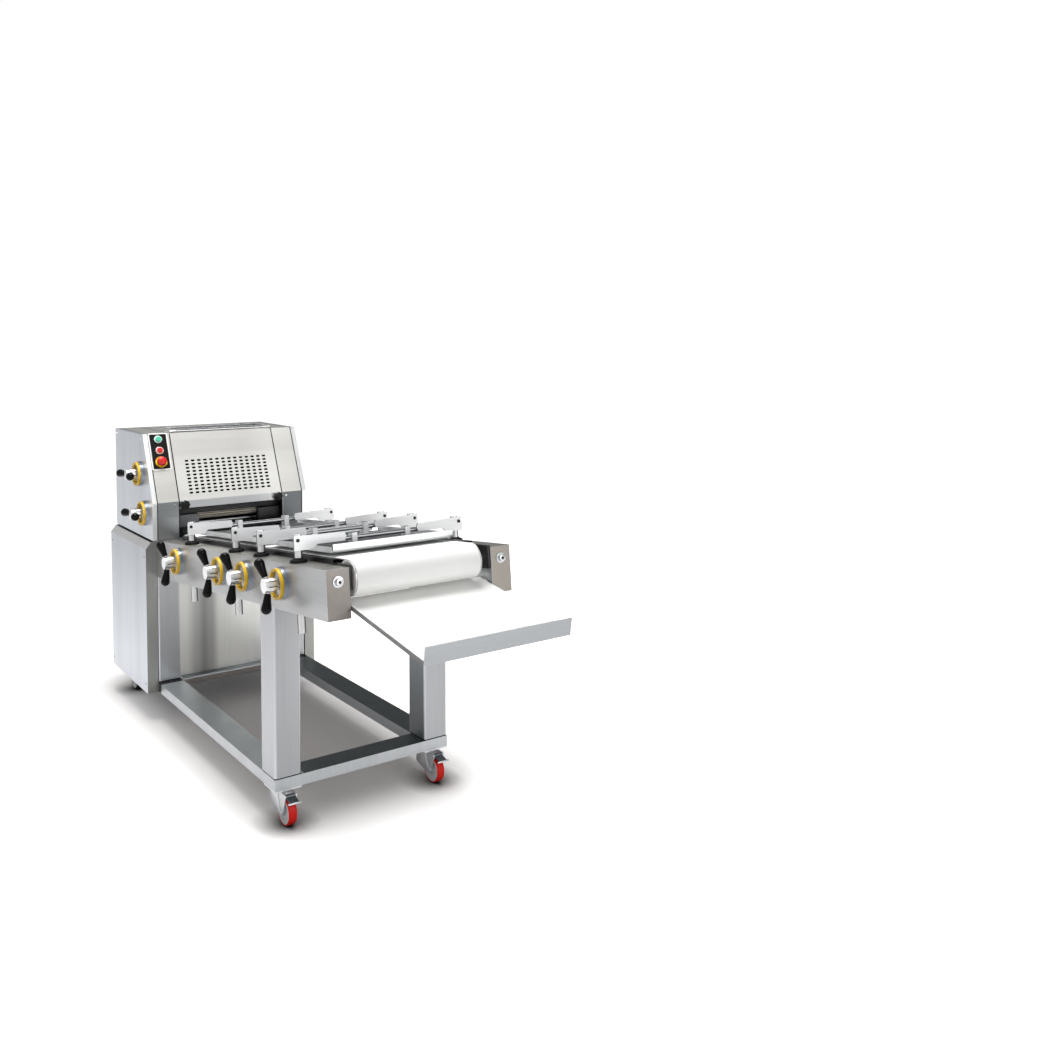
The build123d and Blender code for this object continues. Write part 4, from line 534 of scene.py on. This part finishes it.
# Streaks run the length of the boxes. Their tops and front ends are painted darker and warmer as shade,
# the right box's end less so. The bed lies in their shade and looks nearly black. Turned steel has a sharp
# bright shine, and a socket's recess is painted dark in it as shade.
box_steel = brushed_steel(
    "brushed_stainless_box", "#aeb0b2", ALONG_Y,
    faces=[(-BACK, "#817c78"), (-BACK, "#a09a94", right_part), (RISE, "#a09e99")])
bed_steel = brushed_steel("dark_bed_steel", "#2f3132", ALONG_Y, edge="#3a3c3d")
turned_steel = moulded("turned_bright_steel", "#e3e5e7", "#d2d5d8", 0.24, depth=FINE, metallic=1.0)
recess_shade_dark = moulded("dark_recess_shade_steel", "#1d1e1f", "#141515", 0.5)
dress(box_steel, "left_side_box", "right_side_box")
dress(bed_steel, "slider_bed")

washer = turned([(0.0130, 0.0005), (0.0185, 0.0005), (0.0187, 0.0012), (0.0187, 0.0030), (0.0178, 0.0040),
                 (0.0130, 0.0042)], sides=40, bored=True)
cap = turned([(0.0124, 0.0030), (0.0127, 0.0040), (0.0127, 0.0120), (0.0120, 0.0143), (0.0105, 0.0150),
              (0.0062, 0.0150), (0.0058, 0.0146), (0.0056, 0.0100)], sides=36)
pit = turned([(0.0057, 0.0142), (0.0057, 0.01455), (0.0040, 0.0146)], sides=6)
for side, mark in SIDES:
    face = seat(on_table(side * BOX_X, 0, DRUM_H), -BACK, RISE)
    fit(washer, f"tension_washer_{mark}", "frame", "turned_steel", turned_steel, face)
    fit(cap, f"tension_cap_{mark}", "frame", "turned_steel", turned_steel, face)
    fit(pit, f"tension_socket_{mark}", "frame", "turned_steel", recess_shade_dark, face)
scrap(washer, cap, pit)

# Belt and drums: an endless white food belt with a fine woven face over steel drums. The front drum has
# white end discs, and its shaft runs in black plastic blocks on the boxes' inner sides.
FRONT_DRUM_L = 42.0
DISC_LEFT = -252.3
DISC_RIGHT = 218.3
BOX_INNER = 269.7
BEARING_LOW = (-0.040, -0.033, 0.0)
BEARING_HIGH = (0.040, 0.047, 0.0100)
# The belt looks matt and nearly white. Its weave is about 0.5 mm fine and is drawn 3 mm coarse, so that it
# shows. The discs are a little warmer, and the blocks a soft black.
belt_white = moulded("white_food_belt", "#fdfdfc", "#f7f7f5", 0.55, grit=0.003, depth=0.0002)
disc_white = moulded("white_drum_disc", "#f1f0ec", "#e7e6e2", 0.4)
block_black = moulded("black_bearing_plastic", "#161617", "#0f0f10", 0.45)
dress(belt_white, "conveyor_belt")
dress(turned_steel, "front_drum", "rear_drum", "drum_shafts")


def block(low, high, edge, rows=2):
    """A block with rounded edges between two corners."""
    bpy.ops.object.select_all(action="DESELECT")
    middle = (Vector(low) + Vector(high)) / 2
    bpy.ops.mesh.primitive_cube_add(size=1.0, location=middle, scale=Vector(high) - Vector(low))
    piece = bpy.context.object
    bpy.ops.object.transform_apply(location=True, rotation=True, scale=True)
    bpy.ops.object.mode_set(mode="EDIT")
    bpy.ops.mesh.select_all(action="SELECT")
    bpy.ops.mesh.bevel(offset=edge, segments=rows, affect="EDGES")
    bpy.ops.object.mode_set(mode="OBJECT")
    bpy.ops.object.shade_smooth_by_angle(angle=SMOOTH_BELOW)
    return piece


disc = turned([(0.0105, 0.0), (0.0570, 0.0), (0.0592, 0.0008), (0.0598, 0.0016), (0.0592, 0.0026),
               (0.0570, 0.0032), (0.0500, 0.0032), (0.0480, 0.0024), (0.0200, 0.0024), (0.0180, 0.0032),
               (0.0105, 0.0032), (0.0105, 0.0)], sides=72, bored=True)
bearing = block(BEARING_LOW, BEARING_HIGH, edge=0.0015)
for (side, mark), disc_x in zip(SIDES, (DISC_LEFT, DISC_RIGHT)):
    fit(disc, f"drum_disc_{mark}", "front_drum", "white_plastic", disc_white,
        seat(on_table(disc_x, FRONT_DRUM_L, DRUM_H), (side, 0, 0), RISE))
    fit(bearing, f"drum_bearing_{mark}", "frame", "black_plastic", block_black,
        seat(on_table(side * BOX_INNER, FRONT_DRUM_L, DRUM_H), (-side, 0, 0), RISE))
scrap(disc, bearing)

# Lifting posts and bars: ground round bar through black flared seals on the box tops, with flat polished
# ear plates clamped across, each with a screw near its outer end that is painted dark as shade.
LIFTS = ("front_board_front", "front_board_rear", "rear_board_front", "rear_board_rear")
POST_L = (288.0, 606.0, 850.0, 1347.0)
EAR_FRONT = -20.05
EAR_SCREW_X = 318.0
EAR_SCREW_H = 74.0
# Rubber takes up nearly all the light. The posts and plates are painted dark as shade, with broad painted
# highlights on their faces to the front: a round post gets them in three facings round its front left.
POST_HIGHLIGHTS = (((-0.19, -0.98, 0.0), "#eef0f1"),
                ((-0.59, -0.80, 0.0), "#f4f5f6"),
                ((-0.87, -0.48, 0.0), "#eef0f1"))
seal_rubber = moulded("black_seal_rubber", "#0c0c0d", "#070708", 0.55, shine=0.2)
ear_steel = brushed_steel(
    "polished_ear_plate", "#63676a", ALONG_X,
    faces=[*POST_HIGHLIGHTS, (-BACK, "#f6f7f8"), (RISE, "#e2e5e7")],
    roughness=0.42, edge_highlight=0.0, relief=0.0, metallic=0.5)
dress(ear_steel, *[name + "_lift" for name in LIFTS])
dress(seal_rubber, "post_bushes")

seal = turned([(0.0284, 0.0003), (0.0290, 0.0012), (0.0288, 0.0060), (0.0270, 0.0088), (0.0252, 0.0106),
               (0.0200, 0.0112), (0.0172, 0.0126), (0.0166, 0.0150), (0.0150, 0.0156), (0.0145, 0.0150),
               (0.0145, 0.0106)], sides=40, bored=True)
ear_screw = turned(
    [(0.0062, -0.0005), (0.0062, 0.0018), (0.0052, 0.0032), (0.0030, 0.0036), (0.0027, 0.0024)], sides=24)
for lift, post_l in zip(LIFTS, POST_L):
    for side, mark in SIDES:
        fit(seal, f"{lift}_seal_{mark}", "frame", "black_plastic", seal_rubber,
            seat(on_table(side * BOX_X, post_l, 0), RISE, BACK))
        fit(ear_screw, f"{lift}_ear_screw_{mark}", lift + "_lift", "turned_steel", recess_shade_dark,
            seat(on_table(side * EAR_SCREW_X, post_l + EAR_FRONT, EAR_SCREW_H), -BACK, RISE))
scrap(seal, ear_screw)

# Pressure boards: folded stainless trays hung from the bars on white plastic bushes. Their folded edges are
# painted bright as highlights, and their flat insides painted dark as shade.
board_steel = brushed_steel(
    "brushed_stainless_board", "#c9ccce", ALONG_X,
    faces=[(RISE, "#2e3133"), (-BACK, "#f3f5f6"), (LEFT, "#f0f2f4")], metallic=0.6)
bush_white = moulded("white_pivot_bush", "#e6e5e1", "#dad9d4", 0.45)
dress(board_steel, "front_board", "rear_board")
dress(bush_white, "front_board_bushes", "rear_board_bushes")

# Handles: a bright fluted hub with two splayed arms, glossy black tapered grips, a yellow scale ring
# and a steel flange screwed to the casing.
HEAD_HANDLES = ("upper_gap", "lower_gap")
# The grips mirror the lamps in small sharp spots, the ring is a plain warm yellow, the flange a cool grey,
# and the hub is the brightest metal.
grip_black = moulded("black_gloss_grip", "#060607", "#030304", 0.2, shine=0.14)
scale_yellow = moulded("yellow_scale_ring", "#ffd022", "#f5c012", 0.35)
flange_steel = moulded("turned_flange_steel", "#a7adb7", "#949aa4", 0.28, depth=FINE, metallic=1.0)
hub_steel = moulded("bright_hub_steel", "#f3f4f5", "#e8eaec", 0.3, depth=FINE, metallic=1.0)
dress(flange_steel, "handle_flanges")
dress(scale_yellow, "yellow_rings")
dress(hub_steel, *[name + "_handle" for name in LIFTS + HEAD_HANDLES])

# Dark inlays in the hub's grooves, painted shade: one modelled and spun into a ring of eight.
GROOVES = 8
GROOVE_AT = (0.02365, 0, 0.0395)
GROOVE_SIZE = (0.0021, 0.0032, 0.0296)
bpy.ops.object.select_all(action="DESELECT")
bpy.ops.mesh.primitive_cube_add(size=1.0, location=GROOVE_AT, scale=GROOVE_SIZE)
groove_shade = bpy.context.object
bpy.ops.object.transform_apply(location=True, rotation=True, scale=True)
bpy.ops.object.mode_set(mode="EDIT")
bpy.ops.mesh.select_all(action="SELECT")
bpy.ops.mesh.bevel(offset=0.0001, segments=1, affect="EDGES")
bpy.ops.mesh.select_all(action="SELECT")
bpy.ops.mesh.spin(steps=GROOVES, dupli=True, angle=math.tau, center=(0, 0, 0), axis=(0, 0, 1))
bpy.ops.mesh.select_all(action="SELECT")
bpy.ops.mesh.remove_doubles(threshold=MERGE_WITHIN)
bpy.ops.mesh.normals_make_consistent(inside=False)
bpy.ops.object.mode_set(mode="OBJECT")
GROOVE_TURN = Matrix.Rotation(math.radians(-9.0), 4, "Z")

# An arm's turn back from upright: a little on the table, and level on the head.
TABLE_ARM_TURN = math.radians(16)
HEAD_ARM_TURN = math.radians(90)
ARM_ROOT = 0.0465
ARM_FLARE = math.radians(15)
OUT = Vector(LEFT)
grip = turned([(0.0070, 0.0293), (0.0096, 0.0297), (0.0105, 0.0311), (0.0117, 0.0400), (0.0135, 0.0520),
               (0.0155, 0.0640), (0.0171, 0.0735), (0.0179, 0.0790), (0.0174, 0.0836), (0.0156, 0.0879),
               (0.0127, 0.0916), (0.0090, 0.0945), (0.0047, 0.0963), (0.0008, 0.0969)], sides=40)
handles = [(name, TABLE_ARM_TURN, BACK, RISE) for name in LIFTS]
handles += [(name, HEAD_ARM_TURN, -Vector(FRONT), Vector(TOP)) for name in HEAD_HANDLES]
for name, turn, back, rise in handles:
    spoke = back * math.sin(turn) + rise * math.cos(turn)
    pivot = Vector(anchors[name + "_turn"])
    fit(groove_shade, name + "_hub_groove_shade", name + "_handle", "turned_steel", recess_shade_dark,
        seat(pivot, OUT, rise) @ GROOVE_TURN)
    root = pivot + OUT * ARM_ROOT
    for sign, mark in ((1, "a"), (-1, "b")):
        along = spoke * sign * math.cos(ARM_FLARE) + OUT * math.sin(ARM_FLARE)
        replaced = [name + "_grips"] if sign == 1 else []
        fit(grip, name + "_grip_" + mark, name + "_handle", "black_plastic", grip_black,
            seat(root, along, back), *replaced)
scrap(grip, groove_shade)

# Discharge tray: a white plastic chute sheet under the table's nose, with a folded steel lip along its front.
# Its face is smooth and bright, its cut left edge is painted grey as shade, and the lip has soft
# streaks along it.
tray_white = moulded("white_tray_plastic", "#f6f6f4", "#f0f0ee", 0.5, grit=0.002, faces=[(LEFT, "#8e8d8c")])
lip_steel = brushed_steel("brushed_stainless_lip", "#a5a9ac", ALONG_X)
dress(tray_white, "discharge_tray")
dress(lip_steel, "tray_lip")

# Head casing: folded stainless sides with front flanges painted bright as highlights, sloping fascias
# and a flat top round the rollers. The upright fascias under the fold are in the shade of the slope and
# are painted darker, the right one more so under a slope painted lighter. The bearing plates inside are
# painted nearly black as shade.
SLOPE = math.radians(23.66)
SLOPE_UP = Vector((0.0, math.sin(SLOPE), math.cos(SLOPE)))
SLOPE_OUT = Vector((0.0, -math.cos(SLOPE), math.sin(SLOPE)))
HEAD_FRONT = 1267.0
FOLD_Z = 973.0


def on_slope(x, s):
    """A point of the head's sloping front, s millimetres up from the fold."""
    return place(x, HEAD_FRONT, FOLD_Z) + SLOPE_UP * (s / 1000)


FASCIA_SEAMS = ((-351, -346), (-254, -249), (231, 236), (331, 337))
right_fascia = ("X", place(240, 0, 0).x)
side_steel = brushed_steel(
    "brushed_stainless_side", "#cbd0d7", UPRIGHT, faces=[(FRONT, "#f4f5f6"), (SLOPE_OUT, "#f4f5f6")])
fascia_steel = brushed_steel(
    "brushed_stainless_fascia", "#d9d8d4", ALONG_X,
    faces=[(FRONT, "#989b9d"), (FRONT, "#707476", right_fascia),
           (SLOPE_OUT, "#cecdc8"), (SLOPE_OUT, "#efeee9", right_part)],
    joints=[("X", place(low, 0, 0).x, place(high, 0, 0).x) for low, high in FASCIA_SEAMS])
inner_steel = brushed_steel("inner_plate_steel", "#242526", UPRIGHT, edge="#303132")
dress(side_steel, "head_left_side", "head_right_side")
dress(fascia_steel, "front_fascias", "head_top")
dress(inner_steel, "head_inner_plates")

# Guard: a hinged stainless sheet with rows of round-ended slots, folded at its foot and held shut by two
# black lobed knobs. A thin black sheet behind the slots is painted shade, which makes them look black.
GUARD_ACROSS = ((-249, 0.76), (60, 0.83), (231, 1.0))
GUARD_UP = [(0.973, 1.0), (1.10, 0.96), (1.267, 0.82)]
fold_highlight = ("Z", (FOLD_Z - 1.5) / 1000, (FOLD_Z + 2.5) / 1000, "#f2f3f3")
# Painted light and shade: the slots' walls are painted dark, the faces pale by facing and the back greyer,
# a painted highlight runs along the fold, and the sheet is painted lighter to the right and to its foot.
# The knobs have a soft shine, and the black sheet behind the slots has none.
guard_steel = brushed_steel(
    "brushed_stainless_guard", "#0d0e0e", ALONG_X,
    faces=[(FRONT, "#e8eaeb"), (SLOPE_OUT, "#fbfaf6"), (-SLOPE_OUT, "#8c8d8d")],
    joints=[fold_highlight], edge_highlight=0.0)
tint(guard_steel, "X", [(place(x, 0, 0).x, share) for x, share in GUARD_ACROSS])
tint(guard_steel, "Z", GUARD_UP)
knob_black = moulded("black_knob_plastic", "#0e0e0f", "#080809", 0.35, shine=0.3)
slot_shade_black = moulded("black_slot_shade_sheet", "#060606", "#040404", 0.8, shine=0.05)
dress(guard_steel, "slotted_guard")

# A knob's rim is drawn in between its lobes: every fourth step round it stays out, and the others shrink.
KNOB_SIDES = 32
KNOB_DENTS = ((2, 0.80), (1, 0.92), (3, 0.92))
bpy.ops.object.select_all(action="DESELECT")
bpy.ops.mesh.primitive_cylinder_add(vertices=KNOB_SIDES, radius=0.0218, depth=0.0196, location=(0, 0, 0.0102))
knob = bpy.context.object
bpy.ops.object.transform_apply(location=True, rotation=True, scale=True)
for dent, shrink in KNOB_DENTS:
    for point in knob.data.vertices:
        step = round(math.atan2(point.co.y, point.co.x) / math.tau * KNOB_SIDES)
        point.select = step % 4 == dent
    for flat in knob.data.polygons:
        flat.select = False
    for line in knob.data.edges:
        line.select = all(knob.data.vertices[k].select for k in line.vertices)
    bpy.ops.object.mode_set(mode="EDIT")
    bpy.ops.mesh.select_mode(type="VERT")
    bpy.ops.transform.resize(value=(shrink, shrink, 1.0), center_override=(0, 0, 0))
    bpy.ops.mesh.select_all(action="DESELECT")
    bpy.ops.object.mode_set(mode="OBJECT")
for flat in knob.data.polygons:
    flat.select = abs(flat.normal.z) > 0.9
bpy.ops.object.mode_set(mode="EDIT")
bpy.ops.mesh.select_mode(type="FACE")
bpy.ops.mesh.bevel(offset=0.0028, segments=3, affect="EDGES")
bpy.ops.object.mode_set(mode="OBJECT")
bpy.ops.object.shade_smooth_by_angle(angle=math.radians(40))
for mark in ("left", "right"):
    fit(knob, "lobed_knob_" + mark, "guard_knob_" + mark, "black_plastic", knob_black,
        seat(anchors["guard_knob_" + mark + "_turn"], FRONT), "guard_knob_" + mark)
scrap(knob)


def slope_seat(x, s):
    """A placing matrix on the head's sloping front, looking out of it."""
    return seat(on_slope(x, s), SLOPE_OUT, SLOPE_UP)


GUARD_X = -9.0
SLOTS_S = 110.0
# The black sheet behind the slots: painted shade.
SLOT_SHADE_LOW = (-0.206, -0.093, -0.0046)
SLOT_SHADE_HIGH = (0.206, 0.093, -0.0038)
slot_shade_sheet = block(SLOT_SHADE_LOW, SLOT_SHADE_HIGH, edge=0.0002, rows=1)
fit(slot_shade_sheet, "guard_slot_shade", "guard", "black_plastic", slot_shade_black, slope_seat(GUARD_X, SLOTS_S))
scrap(slot_shade_sheet)

# Controls: a black plate in a pale frame, with a green and a red push button in tinted bezels,
# and a domed red emergency button on a yellow collar.
PLATE_X = -306.0
PLATE_S = 236.5
START_S = 294.0
STOP_S = 241.0
EMERGENCY_S = 187.0
RIM_SIZE = (0.086, 0.175, 1.0)
RIM_HEIGHT = 0.0036
# The plate is matt black, the buttons are smooth and glossy, and the bezels are pale tints of their colours.
plate_black = moulded("black_control_plate", "#0b0b0c", "#070708", 0.6, shine=0.15)
frame_pale = moulded("pale_plate_frame", "#f0f0ee", "#e6e6e3", 0.4)
button_green = moulded("green_push_button", "#5fcaa8", "#4dbb98", 0.3)
button_red = moulded("red_push_button", "#d61f1b", "#c21814", 0.28)
bezel_mint = moulded("mint_bezel", "#d3efe5", "#c4e6da", 0.35)
bezel_rose = moulded("rose_bezel", "#f1c6c3", "#e8b5b1", 0.35)
dress(plate_black, "control_plate")
dress(button_green, "start_button")
dress(button_red, "stop_button")

bpy.ops.object.select_all(action="DESELECT")
bpy.ops.mesh.primitive_plane_add(size=1.0)
rim = bpy.context.object
rim.scale = RIM_SIZE
bpy.ops.object.transform_apply(location=True, rotation=True, scale=True)
bpy.ops.object.mode_set(mode="EDIT")
bpy.ops.mesh.select_all(action="SELECT")
bpy.ops.mesh.bevel(offset=0.008, segments=5, affect="VERTICES")
bpy.ops.mesh.select_all(action="SELECT")
bpy.ops.mesh.inset(thickness=0.0058)
bpy.ops.mesh.delete(type="FACE")
bpy.ops.mesh.select_all(action="SELECT")
bpy.ops.mesh.extrude_region_move(TRANSFORM_OT_translate={"value": (0, 0, RIM_HEIGHT)})
bpy.ops.mesh.select_all(action="SELECT")
bpy.ops.mesh.normals_make_consistent(inside=False)
bpy.ops.object.mode_set(mode="OBJECT")
fit(rim, "control_plate_frame", "frame", "white_plastic", frame_pale, slope_seat(PLATE_X, PLATE_S))
scrap(rim)

bezel = turned([(0.0114, 0.0028), (0.0176, 0.0028), (0.0180, 0.0036), (0.0174, 0.0052), (0.0150, 0.0066),
                (0.0120, 0.0068), (0.0114, 0.0060), (0.0114, 0.0028)], sides=40, bored=True)
fit(bezel, "start_bezel", "frame", "white_plastic", bezel_mint, slope_seat(PLATE_X, START_S))
fit(bezel, "stop_bezel", "frame", "white_plastic", bezel_rose, slope_seat(PLATE_X, STOP_S))
scrap(bezel)

mushroom = turned([(0.0080, 0.0113), (0.0190, 0.0113), (0.0205, 0.0120), (0.0210, 0.0138), (0.0210, 0.0180),
                   (0.0202, 0.0212), (0.0184, 0.0240), (0.0150, 0.0259), (0.0110, 0.0269), (0.0060, 0.0273),
                   (0.0008, 0.0273)], sides=48)
fit(mushroom, "emergency_dome", "emergency_button", "red_button", button_red,
    slope_seat(PLATE_X, EMERGENCY_S), "emergency_button")
scrap(mushroom)

# Rollers and drive: fluted plastic rollers between bearing plates, and a painted gearmotor inside the head.
# A grey guide block stands in the left of the mouth and a black one in its right, under a black bar; the
# black block and bar are painted shade that darkens the mouth there.
LOWER_ROLLER = place(0, 1375.9, 918.9)
LANDS = 24.0
FLUTE_TO = -0.4
LAND_FROM = 0.2
MOUTH_LEFT = -249.0
MOUTH_RIGHT = 231.0
# The rollers' plastic is dull and warm, the guide block a plain grey, and the enamel a soft blue grey.
# The upper rollers get a dark copy of it as painted shade, and the lower one a pale copy as painted light.
roller_shaded = moulded("shaded_roller_plastic", "#2b2927", "#211f1d", 0.5)
roller_lit = moulded("lit_roller_plastic", "#e0d8ca", "#d2cabc", 0.5)
guide_grey = moulded("grey_guide_block", "#77797c", "#696b6e", 0.5)
motor_grey = moulded("motor_enamel", "#56616b", "#4a545d", 0.4)
# The lower roller's 24 lands are painted pale as lit, and the flutes between them painted dark as shade.
tree = roller_lit.node_tree
shader = tree.nodes["Principled BSDF"]
painted_light = shader.inputs["Base Color"].links[0].from_socket
coords = add(tree, "ShaderNodeTexCoord")
spoke = add(tree, "ShaderNodeVectorMath", {0: coords.outputs["Object"], 1: LOWER_ROLLER},
            operation="SUBTRACT")
axes = add(tree, "ShaderNodeSeparateXYZ", {0: spoke.outputs[0]})
turn = add(tree, "ShaderNodeMath", {0: axes.outputs["Z"], 1: axes.outputs["Y"]}, operation="ARCTAN2")
turns = add(tree, "ShaderNodeMath", {0: turn.outputs[0], 1: LANDS}, operation="MULTIPLY")
wave = add(tree, "ShaderNodeMath", {0: turns.outputs[0]}, operation="SINE")
land = add(tree, "ShaderNodeMapRange", {"Value": wave.outputs[0], 1: FLUTE_TO, 2: LAND_FROM})
tone = add(tree, "ShaderNodeMix", {0: land.outputs[0], 6: linear("#69655c"), 7: painted_light}, data_type="RGBA")
tree.links.new(tone.outputs[2], shader.inputs["Base Color"])
dress(roller_shaded, "upper_roller", "middle_roller")
dress(roller_lit, "lower_roller")
dress(motor_grey, "gearmotor")

# The blocks' and the bar's low and high corners, seen from the side: millimetres back and up.
GUIDE_LOW = (1290, 850)
GUIDE_HIGH = (1318, 906)
SHADOW_BAR_LOW = (1303, 908)
SHADOW_BAR_HIGH = (1315, 946)
# The right block is black as painted shade.
GUIDES = (("left", MOUTH_LEFT, -155.0, guide_grey), ("right", 125.0, MOUTH_RIGHT, block_black))
for mark, start, end, finish in GUIDES:
    guide = block(place(start, *GUIDE_LOW), place(end, *GUIDE_HIGH), edge=0.003)
    fit(guide, "mouth_guide_" + mark, "frame", "black_plastic", finish, Matrix())
    scrap(guide)
# A black bar under the guard's lip: painted shadow across the top of the mouth.
shadow_bar = block(place(MOUTH_LEFT, *SHADOW_BAR_LOW), place(MOUTH_RIGHT, *SHADOW_BAR_HIGH), edge=0.002)
fit(shadow_bar, "mouth_shadow_bar", "frame", "black_plastic", block_black, Matrix())
scrap(shadow_bar)

# Fasteners: bright stainless washers and dome screws that hold the sheets of the head together.
# They are turned, and each shows as a small bright point on the satin sheet.
dress(turned_steel, "fasteners")
